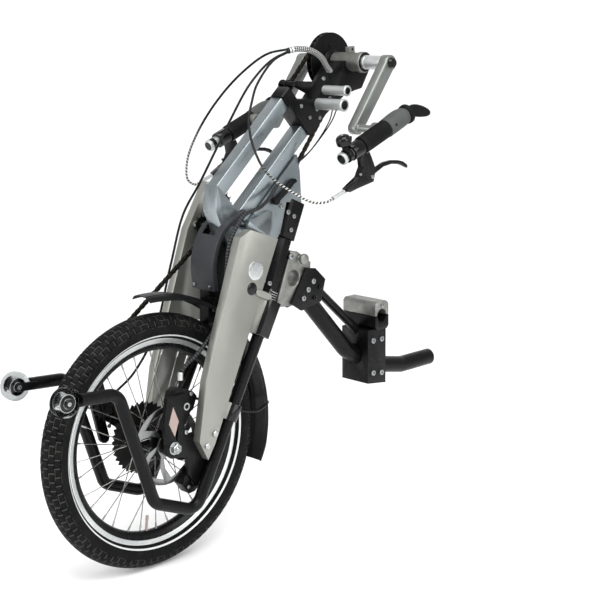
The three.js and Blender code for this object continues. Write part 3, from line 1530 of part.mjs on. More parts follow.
function frameClamp(upper) {
  const turn = upper ? 1 : -1;
  const rise = turn * seat;
  const places = [
    offset(clampCentre, { y: -clampDepth / 2, z: rise }), offset(clampCentre, { y: clampDepth / 2, z: rise }),
    offset(clampCentre, { y: clampDepth / 2, z: turn * clampShoulder }),
    offset(clampCentre, { y: clampTopHalf, z: (turn * clampHeight) / 2 }),
    offset(clampCentre, { y: -clampTopHalf, z: (turn * clampHeight) / 2 }),
    offset(clampCentre, { y: -clampDepth / 2, z: turn * clampShoulder }),
  ];
  const bore = disc(clampCentre, clampBore, -clampHalfX - overrun, clampHalfX + overrun, 24);
  return cut(plate(places, -clampHalfX, clampHalfX), bore);
}
add('boom_post', join(
  cut(plate(postPlaces, -postHalf, postHalf), pipe(boomRoute, boomRadius + boomClearance, 10)),
  rod(vector(strutEnds[0], 0), vector(strutEnds[1], 0), strutRadius, 12),
  disc(strutEnds[0], crossBarRadius, -castingHalf, castingHalf, 12),
  frameClamp(false),
), 'black');
add('frame_clamp_cap', frameClamp(true), 'castAlloy');

// Lever that frees the folding mast
const releaseShares = [[1.053, 0.502], [1.327, 0.678], [1.504, 0.835], [1.602, 0.884]];
const releaseHalf = 4;
const releaseInner = crownHalf + seat * 2;
const releaseWidth = 12;

function releaseLever() {
  const places = inCrown(releaseShares);
  const upper = places.map((p) => along(p, mastAngle + 90, releaseHalf));
  const lower = places.map((p) => along(p, mastAngle - 90, releaseHalf));
  return join(
    plate([...lower, ...upper.reverse()], releaseInner, releaseInner + releaseWidth),
    disc(places[0], releaseHalf * 2, releaseInner, releaseInner + releaseWidth, 14),
  );
}
add('mast_release_lever', releaseLever(), 'black');

// Derailleur: a body on the far dropout with a motor block, and the sprung cage with its two pulleys
const hangerPlace = [[-0.354, 0.224]];
const motorPlace = [[-0.477, 0.02]];
const hanger = laid(axle, dropoutLength, dropoutHeight, hangerPlace)[0];
const motorEnd = laid(axle, dropoutLength, dropoutHeight, motorPlace)[0];
const bodyWidth = 11;
const bodyOuter = -bladeInnerX - bodyWidth;
const bodyInner = -bladeInnerX;
const motorRadius = 0.9 * derailleurKnuckle;
const shoulderRadius = 0.8 * derailleurKnuckle;
const cageHalf = 0.75 * derailleurKnuckle;
const pinHeadRadius = 0.7 * pulleyBoss;
const cagePlate = 2.2;
const cageOuterX = chainX - pulleyHalfWidth - seat - cagePlate;
const cageInnerX = chainX + pulleyHalfWidth + seat;

function derailleurBody() {
  const link = hull([hanger, guidePulley].flatMap((p) => (
    [bodyOuter, bodyInner].flatMap((x) => circle(p, derailleurKnuckle, 9).map((q) => vector(q, x)))
  )));
  const motor = hull([guidePulley, motorEnd].flatMap((p) => (
    [bodyOuter, bodyInner].flatMap((x) => circle(p, motorRadius, 9).map((q) => vector(q, x)))
  )));
  const shoulder = disc(guidePulley, shoulderRadius, bodyInner - seat, cageOuterX - seat, 10);
  const pinEnd = cageInnerX + cagePlate;
  const pin = disc(guidePulley, idlerBoltRadius, bodyInner - seat, pinEnd + 2 * seat, 12);
  const head = disc(guidePulley, pinHeadRadius, pinEnd + seat, pinEnd + boltHead, 12);
  return join(link, motor, shoulder, pin, head);
}
add('derailleur_body', derailleurBody(), 'black');

function cage() {
  const side = (low, radius) => cut(
    hull([guidePulley, tensionPulley].flatMap((p) => (
      [low, low + cagePlate].flatMap((x) => circle(p, radius, 8).map((q) => vector(q, x)))
    ))),
    disc(guidePulley, idlerBoltRadius + seat, low - overrun, low + overrun, 12),
  );
  return join(
    side(cageOuterX, cageHalf),
    side(cageInnerX, cageHalf),
    disc(tensionPulley, idlerBoltRadius, cageOuterX, cageInnerX + cagePlate, 12),
  );
}
add('derailleur_cage', cage(), 'black');

// Cables: a braided sheath over the mast head, one cable to each lever, one along the far blade and the
// hoses.
// Each is led through places that hang on the nearest piece of the frame.
const cableRadius = 2.5;
const sheathRadius = 6;
const sheathShares = [
  [0.125, -0.369, -0.112], [0.134, -0.437, -0.049], [0.179, -0.573, 0.077], [0.196, -0.795, 0.175],
  [0.125, -0.968, 0.194], [0.071, -1.091, 0.175],
];
const gearHeadShares = [
  [0.046, -1.067, 0.169], [-0.018, -1.351, 0.052], [-0.071, -1.684, -0.232], [-0.179, -1.937, -0.64],
];
const gearBladeShares = [
  [-0.429, -0.045, 1.57], [-0.643, -0.358, 0.933], [-0.886, -0.652, 0.345], [-0.9, -1.005, -0.635],
];
const gearWheelShares = [[-0.9, 0.24, 0.744], [-0.914, 0.023, 0.473]];
const gearEndShares = [[-1, 0.59, 0.269], [-1.079, 0.34, -0.018]];
const leftHeadShares = [
  [0.094, -1.098, 0.163], [0.071, -1.351, 0.064], [0.134, -1.684, -0.22], [0.25, -1.851, -0.423],
  [0.375, -1.986, -0.633],
];
const leftGripShares = [
  [0.375, -1.222, -0.106], [0.56, -1.222, -0.351], [0.75, -1.067, -0.541], [0.91, -0.917, -0.651],
];
const rightHeadShares = [
  [0.068, -1.099, 0.194], [-0.107, -1.351, 0.138], [-0.536, -1.523, -0.102], [-1.071, -1.635, -0.473],
];
const rightGripShares = [[-0.86, -0.897, -0.086], [-0.98, -0.937, -0.371], [-1.005, -0.917, -0.581]];
const hoseBladeShares = [
  [0.353, 1.132, 0.816], [0.457, 0.857, 0.61], [0.657, 0.465, 0.463], [0.857, -0.143, 0.345],
  [0.9, -0.535, -0.145], [0.886, -0.662, -0.93],
];
const hoseWheelShares = [[0.871, 0.465, 0.86], [0.829, 0.279, 0.667], [0.786, 0.171, 0.597]];
const branchBladeShares = [[0.886, -0.662, -0.93]];
const branchWheelShares = [
  [0.871, 0.535, 0.86], [0.8, 0.488, 0.55], [0.757, 0.457, 0.24], [0.757, 0.442, 0.016],
  [0.763, 0.411, -0.101],
];
const atHead = (shares) => routed(crank, crankInnerX, crankLength, shares);
const atBlade = (shares) => routed(bladeTop, bladeInnerX, bladeWidth, shares);
const atWheel = (shares) => routed(axle, bladeInnerX, tyreRadius, shares);
const atGrip = (shares) => routed(crankEnd, gripX, gripX, shares);
const cable = (points, steps, radius, sides = 5) => pipe(smooth(points, steps), radius, sides);

// The last two places of a lever's cable, in line with the ferrule that it enters
function intoFerrule(side) {
  const [root, mouth] = ferruleEnds;
  const away = distance(root, mouth);
  return [6 * cableRadius, 4 * seat].map((reach) => vector(mix(root, mouth, 1 + reach / away), side * gripX));
}

// A hose that ends square on the mouth of a caliper's stub
function hose(points, kind, steps) {
  const [root, mouth] = stubEnds(kind);
  const out = new THREE.Vector3().subVectors(mouth, root).normalize();
  const [bend, end] = [3 * hoseRadius, 2 * seat].map((reach) => mouth.clone().addScaledVector(out, reach));
  return pipe([...smooth([...points, bend], steps), end], hoseRadius, 5);
}
const gearRoute = [
  ...atHead(gearHeadShares), ...atBlade(gearBladeShares), ...atWheel(gearWheelShares),
  ...routed(guidePulley, bladeInnerX, cageLength, gearEndShares),
];
const hoseRoute = [...atBlade(hoseBladeShares), ...atWheel(hoseWheelShares)];
const branchRoute = [...atBlade(branchBladeShares), ...atWheel(branchWheelShares)];
const leftRoute = [...atHead(leftHeadShares), ...atGrip(leftGripShares), ...intoFerrule(1)];
const rightRoute = [...atHead(rightHeadShares), ...atGrip(rightGripShares), ...intoFerrule(-1)];
add(
  'cable_sheath',
  join(cable(atHead(sheathShares), 10, sheathRadius, 8), cable(gearRoute, 20, cableRadius)),
  'chainSteel',
);
add('lever_cable_left', cable(leftRoute, 18, cableRadius), 'black');
add('lever_cable_right', cable(rightRoute, 16, cableRadius), 'black');
add('brake_hose', join(hose(hoseRoute, upperCaliper, 14), hose(branchRoute, lowerCaliper, 10)), 'black');

export default model;
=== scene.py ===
# %% [markdown]
# # A clip-on handcycle, dressed for a studio photograph
# The fixed frame gives every solid its place. This notebook adds what a solid model leaves out: broken
# edges, the tread of the tyre, the links of the chain, spokes, cables, fasteners and the finish of every
# surface. Shapes are worked out in millimetres and turn to metres where a mesh is made. +X is the rider's
# left, -Y is forward and +Z is up.

# %% Frame
import json

import bmesh
import bpy
import numpy as np
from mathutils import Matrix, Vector

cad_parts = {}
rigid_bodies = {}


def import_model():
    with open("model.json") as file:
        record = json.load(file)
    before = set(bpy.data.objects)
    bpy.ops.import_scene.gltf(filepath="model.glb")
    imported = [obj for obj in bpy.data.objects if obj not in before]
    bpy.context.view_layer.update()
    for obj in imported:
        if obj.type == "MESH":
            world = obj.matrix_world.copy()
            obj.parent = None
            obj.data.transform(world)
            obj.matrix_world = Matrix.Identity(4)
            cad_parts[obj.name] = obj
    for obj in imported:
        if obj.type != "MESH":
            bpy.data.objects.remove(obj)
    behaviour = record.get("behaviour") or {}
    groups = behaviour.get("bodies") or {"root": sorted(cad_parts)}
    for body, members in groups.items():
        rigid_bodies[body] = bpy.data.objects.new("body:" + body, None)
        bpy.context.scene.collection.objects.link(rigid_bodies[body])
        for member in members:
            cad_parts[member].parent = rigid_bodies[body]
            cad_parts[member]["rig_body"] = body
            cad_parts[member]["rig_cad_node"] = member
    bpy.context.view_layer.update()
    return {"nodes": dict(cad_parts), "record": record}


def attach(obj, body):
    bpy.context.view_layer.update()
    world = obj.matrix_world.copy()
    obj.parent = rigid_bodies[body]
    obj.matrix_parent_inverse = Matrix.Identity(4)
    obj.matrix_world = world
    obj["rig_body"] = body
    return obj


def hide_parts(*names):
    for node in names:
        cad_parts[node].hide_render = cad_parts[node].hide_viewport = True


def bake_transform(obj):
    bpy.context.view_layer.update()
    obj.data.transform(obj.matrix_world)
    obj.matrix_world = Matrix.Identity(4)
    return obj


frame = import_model()
NODES = frame["nodes"]
NODE_SLOT = {part["node"]: part["material_slot"] for part in frame["record"]["subparts"]}
MM = 0.001
SIDES = ((1, "left"), (-1, "right"))
print("solids in the frame", len(NODES))


# %% [markdown]
# ## Places and measures
# The real unit is drawn from its side: nearly every part is a plate, a tube or a wheel square to the middle
# plane. Each place could be typed in, but then nothing would hold together when one of them moved. So a
# place is found by going along a heading from another place, just as on the drawing board.

# %% Places in the side plane
def heading(angle):
    """A direction in the side plane, as (y, z), from an angle in degrees."""
    a = np.radians(angle)
    return np.array([np.cos(a), np.sin(a)])


def along(place, angle, forward, left=0.0):
    """A place reached by going along a heading and then to its left."""
    h = heading(angle)
    return np.asarray(place, float) + h * forward + np.array([-h[1], h[0]]) * left


def across(place, x=0.0):
    """A place (y, z) of the side plane with its x."""
    return np.array([x, place[0], place[1]])


def unit(vector):
    """A direction of length one."""
    vector = np.asarray(vector, float)
    return vector / np.linalg.norm(vector)


print("ten ahead at 30 degrees is", along((0, 0), 30, 10).round(2))

# %% Measures of the unit, in millimetres and degrees
BLADE_ANGLE, MAST_ANGLE, STAND_ANGLE, GRIP_ANGLE, CAGE_ANGLE = 71, 42.1, 61.6, 21.7, 103.713
AXLE = np.array([0.0, 258.0])
BLADE_FOOT = AXLE + [70, -23]
BLADE_TOP = along(BLADE_FOOT, BLADE_ANGLE, 444)
MAST_FOOT = BLADE_TOP + [-33, 85]
MAST_TOP = along(MAST_FOOT, MAST_ANGLE, 246)
CRANK = along(MAST_TOP, MAST_ANGLE, 196, -73.5)
CRANK_END = along(CRANK, -127, 162)
UPPER_IDLER = BLADE_TOP + [30, 48]
LOWER_IDLER = BLADE_TOP + [-29, 9]
GUIDE_PULLEY = AXLE + [-78, 72]
TENSION_PULLEY = along(GUIDE_PULLEY, CAGE_ANGLE, 78)
STAND_PIVOT = AXLE + [140, 45]
STAND_X, GRIP_X, CHAIN_X = 80.0, 200.0, -48.0
PITCH = 12.7
print("crank at", CRANK.round(1), "and its grip at", CRANK_END.round(1))


# %% [markdown]
# ## How a finish is made
# A real surface is never one flat colour: paint drifts a little, polish is uneven and everything has a fine
# grain. A picture could carry that, but a picture fits one size only. So each finish is a small network:
# a broad noise drifts between two close colours, a finer one varies the gloss, and a very fine one lifts
# the surface. Every pattern is given by its real size in millimetres.

# %% Colours and nodes
def linear(code):
    """A hex colour as the linear RGBA that shaders use."""
    rgb = np.array([int(code[i:i + 2], 16) for i in (1, 3, 5)]) / 255
    lin = np.where(rgb <= 0.04045, rgb / 12.92, ((rgb + 0.055) / 1.055) ** 2.4)
    return (*lin.tolist(), 1.0)


def add(tree, kind, inputs=(), out=0, **settings):
    """Adds a node, sets its properties, fills its inputs with values or links and gives one output."""
    node = tree.nodes.new("ShaderNode" + kind)
    for key, value in settings.items():
        setattr(node, key, value)
    for key, value in inputs.items() if isinstance(inputs, dict) else enumerate(inputs):
        if isinstance(value, bpy.types.NodeSocket):
            tree.links.new(value, node.inputs[key])
        else:
            node.inputs[key].default_value = value
    return node.outputs[out]


print("mid grey in linear light", round(linear("#808080")[0], 3))

# %% One finish
FINISHES = {}
BUMP_MM = 0.2
WHITE = (1, 1, 1, 1)


def finish(
    name, light, dark, rough, metal=0.0, drift_mm=60, gloss_mm=6, grain_mm=0.6, lift=0.02,
    coat=0.0, pattern=None, through=0.0, shine=0.5, ior=None,
):
    """A finish from two close colours, a range of roughness and the sizes of its three noises."""
    material = bpy.data.materials.new(name)
    material.use_nodes = True
    tree = material.node_tree
    shader = tree.nodes["Principled BSDF"].inputs
    place = add(tree, "TexCoord", out="Object")
    place = add(tree, "VectorMath", (place, (1000, 1000, 1000)), operation="MULTIPLY")
    drift, polish, height = [
        add(tree, "TexNoise", {"Vector": place, "Scale": 1 / size, "Detail": detail})
        for size, detail in ((drift_mm, 3.0), (gloss_mm, 3.0), (grain_mm, 2.0))
    ]
    share = add(tree, "MapRange", (drift, 0.3, 0.7, 0, 1))
    colour = add(
        tree, "Mix", {0: share, 6: linear(light), 7: linear(dark)}, out=2, data_type="RGBA"
    )
    gloss = add(tree, "MapRange", (polish, 0.3, 0.7, *rough))
    if pattern:
        colour, gloss, height = pattern(tree, place, colour, gloss, height)
    bump = add(
        tree, "Bump", {"Height": height, "Strength": lift * 10, "Distance": BUMP_MM * MM}
    )
    for key, socket in (("Base Color", colour), ("Roughness", gloss), ("Normal", bump)):
        tree.links.new(socket, shader[key])
    shader["Metallic"].default_value = metal
    shader["Coat Weight"].default_value = coat
    shader["Coat Roughness"].default_value = 0.12
    shader["Transmission Weight"].default_value = through
    if metal < 1:
        shader["Specular IOR Level"].default_value = shine
    if ior:
        shader["IOR"].default_value = ior
    FINISHES[name] = material
    print("finish", name, "roughness", rough)


# %% [markdown]
# ## Patterns that follow a surface
# Tread, braid and spiral stripes run along their own part, whatever way it bends. Object coordinates would
# cut straight through them. So the tyre and the cables carry a map of their own, with millimetres along
# the part, and these patterns read it.

# %% Map and wave
def unwrapped(tree):
    """The two coordinates of a surface's own map: how far along it, and how far across it."""
    place = add(tree, "UVMap", out="UV", uv_map="unwrapped")
    return [add(tree, "SeparateXYZ", (place,), out=k) for k in (0, 1)]


def wave(tree, value, length_mm, shift_mm=0.0):
    """A sine that makes one full turn in a length and starts a little further on."""
    moved = add(tree, "Math", (value, shift_mm), operation="ADD")
    turned_by = add(tree, "Math", (moved, 2 * np.pi / length_mm), operation="MULTIPLY")
    return add(tree, "Math", (turned_by,), operation="SINE")


# %% Tread of the tyre
TYRE_ROUND, TREAD_BLOCKS, TREAD_BANDS = 1621.0, 90, 6
TREAD_EDGE, SKIN_REACH = 78.0, 27.0
BLOCK_MM = TYRE_ROUND / TREAD_BLOCKS
HALF_TREAD_MM = np.radians(TREAD_EDGE) * SKIN_REACH
BAND_MM = 2 * HALF_TREAD_MM / TREAD_BANDS
print("tread block", round(BLOCK_MM, 1), "mm long and", round(BAND_MM, 1), "mm wide")


def treaded(tree, place, colour, gloss, height):
    """Moulded rubber that has rolled: fine ribs on the side wall, four sipes a block in painted shade, pale
    worn lips.

    The ribs are a wave across the section, the sipes a wave round the wheel. A lip is the crest of a wave
    one block long, moved by half a block in every other band; a seam is the crest of one a band wide.
    """
    round_wheel, over_section = unwrapped(tree)
    from_crown = add(tree, "Math", (over_section,), operation="ABSOLUTE")
    wall = add(tree, "MapRange", (from_crown, 38, 39, 0, 1))
    crown = add(tree, "Math", (1.0, wall), operation="SUBTRACT")
    ribs = add(tree, "MapRange", (wave(tree, over_section, 2.4), -0.2, 0.6, 0, 1))
    sipes = add(tree, "MapRange", (wave(tree, round_wheel, BLOCK_MM / 4), -0.97, -0.85, 0, 1))
    from_edge = add(tree, "Math", (over_section, HALF_TREAD_MM), operation="ADD")
    band = add(tree, "Math", (from_edge, BAND_MM), operation="DIVIDE")
    band = add(tree, "Math", (band,), operation="FLOOR")
    odd = add(tree, "Math", (band, 2.0), operation="MODULO")
    odd = add(tree, "Math", (odd,), operation="ABSOLUTE")
    half_block = add(tree, "Math", (odd, BLOCK_MM / 2), operation="MULTIPLY")
    shifted = add(tree, "Math", (round_wheel, half_block), operation="ADD")
    lip = add(tree, "MapRange", (wave(tree, shifted, BLOCK_MM, 2.6), 0.9, 0.97, 0, 1))
    seam = add(tree, "MapRange", (wave(tree, from_edge, BAND_MM, 1.6), 0.93, 0.98, 0, 1))
    some = add(tree, "MapRange", (wave(tree, shifted, 3 * BLOCK_MM), 0.1, 0.3, 0, 1))
    seam = add(tree, "Math", (seam, some), operation="MULTIPLY")
    worn = add(tree, "Math", (lip, seam), operation="MAXIMUM")
    worn = add(tree, "Math", (worn, crown), operation="MULTIPLY")
    worn = add(tree, "Math", (worn, 0.36), operation="MULTIPLY")
    dust = add(tree, "TexNoise", {"Vector": place, "Scale": 1 / 25, "Detail": 6.0})
    dust = add(tree, "MapRange", (dust, 0.5, 0.8, 0, 0.09))
    colour = add(
        tree, "Mix", {0: dust, 6: colour, 7: linear("#4a4742")}, out=2, data_type="RGBA"
    )
    colour = add(
        tree, "Mix", {0: worn, 6: colour, 7: linear("#5d5d5a")}, out=2, data_type="RGBA"
    )
    # painted shade: the sipes on the crown are multiplied darker, standing in for the shade inside the narrow
    # cuts
    painted_sipe_shade = add(tree, "Mix", {0: wall, 6: sipes, 7: WHITE}, out=2, data_type="RGBA")
    colour = add(
        tree, "Mix", {0: 0.45, 6: colour, 7: painted_sipe_shade}, out=2, data_type="RGBA", blend_type="MULTIPLY"
    )
    relief = add(tree, "Mix", {0: wall, 6: WHITE, 7: ribs}, out=2, data_type="RGBA")
    grain = add(tree, "Math", (height, 0.3), operation="MULTIPLY")
    return colour, gloss, add(tree, "Math", (relief, grain), operation="ADD")


# %% Braid
def braided(strands, pitch_mm, dark, pale):
    """A braid: two sines that slant round the cable in opposite ways, pale where both have one sign."""
    def pattern(tree, place, colour, gloss, height):
        along_cable, round_cable = unwrapped(tree)
        forward = add(tree, "Math", (along_cable, 2 * np.pi / pitch_mm), operation="MULTIPLY")
        around = add(tree, "Math", (round_cable, 2 * np.pi * strands), operation="MULTIPLY")
        slants = []
        for way in ("ADD", "SUBTRACT"):
            slant = add(tree, "Math", (forward, around), operation=way)
            slants.append(add(tree, "Math", (slant,), operation="SINE"))
        cross = add(tree, "Math", slants, operation="MULTIPLY")
        wires = add(tree, "MapRange", (cross, 0.08, 0.24, 0, 1))
        mixed = {0: wires, 6: linear(dark), 7: linear(pale)}
        return add(tree, "Mix", mixed, out=2, data_type="RGBA"), gloss, cross
    return pattern


# %% Stripe
def striped(pitch_mm, start_mm, fade_mm, pale):
    """A stripe that winds once round the cable in each pitch and fades in some way along it."""
    def pattern(tree, place, colour, gloss, height):
        along_cable, round_cable = unwrapped(tree)
        forward = add(tree, "Math", (along_cable, 2 * np.pi / pitch_mm), operation="MULTIPLY")
        around = add(tree, "Math", (round_cable, 2 * np.pi), operation="MULTIPLY")
        slant = add(tree, "Math", (forward, around), operation="ADD")
        slant = add(tree, "Math", (slant,), operation="SINE")
        stripe = add(tree, "MapRange", (slant, -0.15, 0.15, 0, 1))
        begun = add(tree, "MapRange", (along_cable, start_mm, start_mm + fade_mm, 0, 1))
        shown = add(tree, "Math", (stripe, begun), operation="MULTIPLY")
        mixed = {0: shown, 6: colour, 7: linear(pale)}
        return add(tree, "Mix", mixed, out=2, data_type="RGBA"), gloss, height
    return pattern


# %% Ribs and turned lines
def ribbed(tree, place, colour, gloss, height):
    """A corrugated jacket: a ring every few millimetres, paler on its crest."""
    ring = wave(tree, unwrapped(tree)[0], 6.5)
    crest = add(tree, "MapRange", (ring, 0.2, 1.0, 0, 1))
    mixed = {0: crest, 6: colour, 7: linear("#3a3c3e")}
    return add(tree, "Mix", mixed, out=2, data_type="RGBA"), gloss, ring


def brushed_ring(tree, place, colour, gloss, height):
    """Fine turned lines round an axle along X: a noise of the distance from the axle alone."""
    y, z = [add(tree, "SeparateXYZ", (place,), out=k) for k in (1, 2)]
    flat = add(tree, "CombineXYZ", {1: y, 2: z})
    radius = add(tree, "VectorMath", (flat,), out="Value", operation="LENGTH")
    noise = {"W": radius, "Scale": 2.2, "Detail": 2.0}
    lines = add(tree, "TexNoise", noise, noise_dimensions="1D")
    return colour, add(tree, "MapRange", (lines, 0.3, 0.7, 0.22, 0.42)), lines


# %% [markdown]
# ## The finishes of this handcycle
# Bare and coated aluminium carry the load, nearly everything else is black, and the blacks differ only in
# their gloss. One black would make the parts run together, so there is one for each way of making it.
# Metals keep the usual index of refraction; plastics and rubbers are held back by their specular level,
# because this studio has white all round it.

# %% Painted, anodised and bare metals
# Aluminium with a silver powder coat: baked on, so it is even, half matt and a little warm.
finish("silver_coat", "#8f908a", "#858680", (0.3, 0.42), 0.7, 120, 20, 1.1, 0.006, coat=0.2)
# Anodised aluminium, etched and dyed: cooler than paint, with a fine silky grain under it.
finish("mast_anodised", "#8d9598", "#838b8f", (0.26, 0.36), 0.9, 90, 16, 1.2, 0.006, coat=0.1)
# Forged aluminium with a clear coat over it: the crank arms read darker than the frame's paint.
finish("arm_coat", "#7d807d", "#737673", (0.3, 0.42), 0.7, 80, 16, 1.1, 0.006, coat=0.2)
# Aluminium polished on a wheel: bright, with soft reflections.
finish("polished_alloy", "#c3c5c5", "#b3b6b6", (0.2, 0.32), 1.0, 60, 9, 0.8, 0.006)
# Aluminium turned and blasted to a satin: sleeves, pegs and grip bars look milky, not like a mirror.
finish("satin_alloy", "#c6c8c8", "#b6b9b9", (0.32, 0.44), 0.75, 60, 9, 1.2, 0.006)
# Sand-cast aluminium: dull and blotched, with grain that can be felt.
finish("cast_alloy", "#8e8f8b", "#767772", (0.36, 0.52), 0.85, 18, 4, 1.2, 0.04)

# %% Steels
# Drawn stainless wire: smooth and mid grey, so thin spokes still show against white.
finish("spoke_steel", "#858582", "#70706d", (0.2, 0.3), 1.0, gloss_mm=4, grain_mm=0.6, lift=0.01)
# Ground stainless sheet: the pads leave rings round the axle.
finish("rotor_steel", "#8b8d8c", "#737574", (0.25, 0.42), 1.0, pattern=brushed_ring, lift=0.02)
# Chain steel, browned and oiled: dark and uneven from link to link.
finish("chain_steel", "#3b362f", "#1d1a17", (0.28, 0.48), 0.9, 9, 3, 0.7)
# Stamped steel with black phosphate: the teeth are nearly black with a dull metal sheen.
finish("sprocket_steel", "#1c1c1b", "#101010", (0.28, 0.44), 0.7, 20, 4)
# Zinc-plated steel: bolts and washers are small bright accents.
finish("bolt_steel", "#a9abac", "#8f9293", (0.2, 0.34), 1.0, gloss_mm=3, grain_mm=0.5)
# Spring wire, plated after winding.
finish("spring_steel", "#a5a6a4", "#87898a", (0.2, 0.32), 1.0, gloss_mm=3, grain_mm=0.5)

# %% Black coats and plastics
# Black powder coat on steel and aluminium: a wide soft highlight.
finish("black_coat", "#0a0a0b", "#060607", (0.26, 0.38), 0.0, 50, 9, 0.9, 0.01, shine=0.14)
# Black lacquer and polished nylon: small parts with a sharp highlight.
finish("black_gloss", "#070708", "#040404", (0.1, 0.2), 0.0, 50, 9, 0.8, 0.006, shine=0.3)
# Polypropylene moulded in a grained tool: the mudguard.
finish("black_plastic", "#0c0d0e", "#08090a", (0.34, 0.48), 0.0, 60, 12, 0.9, shine=0.15)
# ABS, moulded and painted dark grey: the cover of the drive.
finish("shell_plastic", "#2b2c2f", "#232427", (0.36, 0.48), 0.0, 60, 20, 0.9, shine=0.3)
# Clear polyurethane, cast round a core: the rollers. A low index keeps the white behind them clean.
finish(
    "clear_polymer", "#b6b9ba", "#abafb0", (0.04, 0.08), 0.0, 60, 10, 2.0, 0.003,
    through=1.0, ior=1.09,
)
# A pale plate under the window of the dropout: a dusty rose.
finish("pale_insert", "#a3918b", "#978680", (0.35, 0.5), 0.3, 60, 12, 0.9, 0.01)

# %% Wheel
# Natural rubber with carbon black, cured in a mould and rolled for some miles.
finish(
    "tyre_rubber", "#0c0d0d", "#080809", (0.55, 0.75), 0.0, 60, 8, 1.4, 0.05,
    pattern=treaded, shine=0.1,
)
# Glass beads bonded into the side wall: pale and slightly metallic.
finish("reflector", "#dfe0df", "#cfd1d0", (0.35, 0.5), 0.3, 60, 5, 0.9)
# Extruded rim, anodised black, and its brake track turned bright after that.
finish("rim_black", "#08090a", "#050606", (0.22, 0.34), 0.0, gloss_mm=12, shine=0.2)
finish("rim_track", "#d2d5d5", "#bcc0c0", (0.3, 0.5), 0.85, pattern=brushed_ring, lift=0.02)

# %% Grips and cables
# Thermoplastic rubber, moulded soft: no highlight to speak of, in black and in grey.
finish("grip_rubber", "#0e0e0f", "#09090a", (0.5, 0.68), 0.0, 60, 5, 1.0, 0.05, shine=0.12)
finish("grip_grey", "#474949", "#3a3c3c", (0.5, 0.66), 0.0, 60, 5, 1.0, 0.05, shine=0.25)
# Extruded PVC over a spiral wound cable, and over a hose in the corrugated one.
finish("cable_jacket", "#08090a", "#050506", (0.26, 0.4), 0.0, 60, 8, 0.9, shine=0.2)
finish("corrugated", "#0a0b0c", "#070708", (0.3, 0.45), 0.0, pattern=ribbed, lift=0.15, shine=0.25)
# A sleeve of tinned wire braided over black: drawn as coarse as it needs to be to show.
finish(
    "braid", "#2a2b2c", "#1c1d1e", (0.35, 0.5), 0.2, lift=0.1, shine=0.3,
    pattern=braided(5, 9.0, "#060607", "#b9bab8"),
)
# A black cable whose last stretch is bound with pale wire; the two begin at different lengths.
for side_word, begins_mm in (("left", 300), ("right", 260)):
    finish(
        f"striped_{side_word}", "#08090a", "#050506", (0.3, 0.42), 0.0, shine=0.2,
        pattern=striped(7.0, begins_mm, 110, "#bfbfbb"),
    )
print("finishes", len(FINISHES))

# %% [markdown]
# ## Solids
# Each solid of the frame names a slot, and one table says which finish the slot has. The rounded copies of
# the solids take the same table unless a finish of their own is listed; pieces built later name their own.
# The choice could be made piece by piece, but then it would be scattered over the whole notebook.

# %% Finishes of the solids
SLOT_FINISH = {
    "silver_paint": "silver_coat", "polished_alloy": "polished_alloy", "cast_alloy": "cast_alloy",
    "black_metal": "black_coat", "black_plastic": "black_plastic", "tyre_rubber": "tyre_rubber",
    "grip_rubber": "grip_rubber", "steel": "spoke_steel", "chain_steel": "sprocket_steel",
    "roller_plastic": "clear_polymer", "cable_jacket": "cable_jacket", "braid": "braid",
}
for node, solid in NODES.items():
    solid.data.materials.clear()
    solid.data.materials.append(FINISHES[SLOT_FINISH[NODE_SLOT[node]]])
print("solids with a finish", len(NODES))

# %% [markdown]
# ## Building surfaces
# A surface is a grid of points, worked out as one array. Its faces join each point with its neighbours, and
# a flag closes the grid round itself. Modelling by hand would be quicker for one piece, but a grid follows
# from a formula, so its numbers can be read, checked and changed.

# %% Meshes from arrays
SHARP_ANGLE = np.radians(38)


def mesh_object(name, points, faces, finish_name, smooth=True):
    """A new mesh object from an array of points in millimetres and a list of faces."""
    mesh = bpy.data.meshes.new(name)
    points = (np.asarray(points, float) * MM).reshape(-1, 3)
    mesh.from_pydata(points.tolist(), [], [list(f) for f in faces])
    mesh.materials.append(FINISHES[finish_name])
    mesh.polygons.foreach_set("use_smooth", np.full(len(mesh.polygons), smooth))
    mesh.set_sharp_from_angle(angle=SHARP_ANGLE)
    thing = bpy.data.objects.new(name, mesh)
    bpy.context.scene.collection.objects.link(thing)
    return thing


def outwards(thing):
    """Merges doubled points and turns every face of a mesh outwards."""
    bm = bmesh.new()
    bm.from_mesh(thing.data)
    bmesh.ops.remove_doubles(bm, verts=bm.verts, dist=1e-6)
    bmesh.ops.recalc_face_normals(bm, faces=bm.faces)
    bm.to_mesh(thing.data)
    bm.free()
    thing.data.set_sharp_from_angle(angle=SHARP_ANGLE)
    return thing


# %% Grids
def cells(rows, columns, closed_rows, closed_columns):
    """Row and column of the first corner of every quad of a grid."""
    r = np.arange(rows if closed_rows else rows - 1)
    c = np.arange(columns if closed_columns else columns - 1)
    return np.meshgrid(r, c, indexing="ij")


def grid_faces(rows, columns, closed_rows=False, closed_columns=True, start=0):
    """Quads that join the points of a grid, row by row."""
    r, c = cells(rows, columns, closed_rows, closed_columns)
    next_r, next_c = (r + 1) % rows, (c + 1) % columns
    corners = [(r, c), (r, next_c), (next_r, next_c), (next_r, c)]
    quads = np.stack([i * columns + k for i, k in corners], -1)
    return (quads.reshape(-1, 4) + start).tolist()


def unwrap(thing, reach, shape, closed_rows, closed_columns):
    """Lays a map over the quads of a grid: one value runs with the rows, the other with the columns."""
    r, c = cells(*shape, closed_rows, closed_columns)
    corners = [(r, c), (r, c + 1), (r + 1, c + 1), (r + 1, c)]
    places = [np.stack([reach[0][i], reach[1][k]], -1) for i, k in corners]
    places = np.stack(places, 2).reshape(-1)
    layer = thing.data.uv_layers.new(name="unwrapped")
    caps = np.zeros(2 * len(thing.data.loops) - len(places))
    layer.data.foreach_set("uv", np.concatenate([places, caps]))


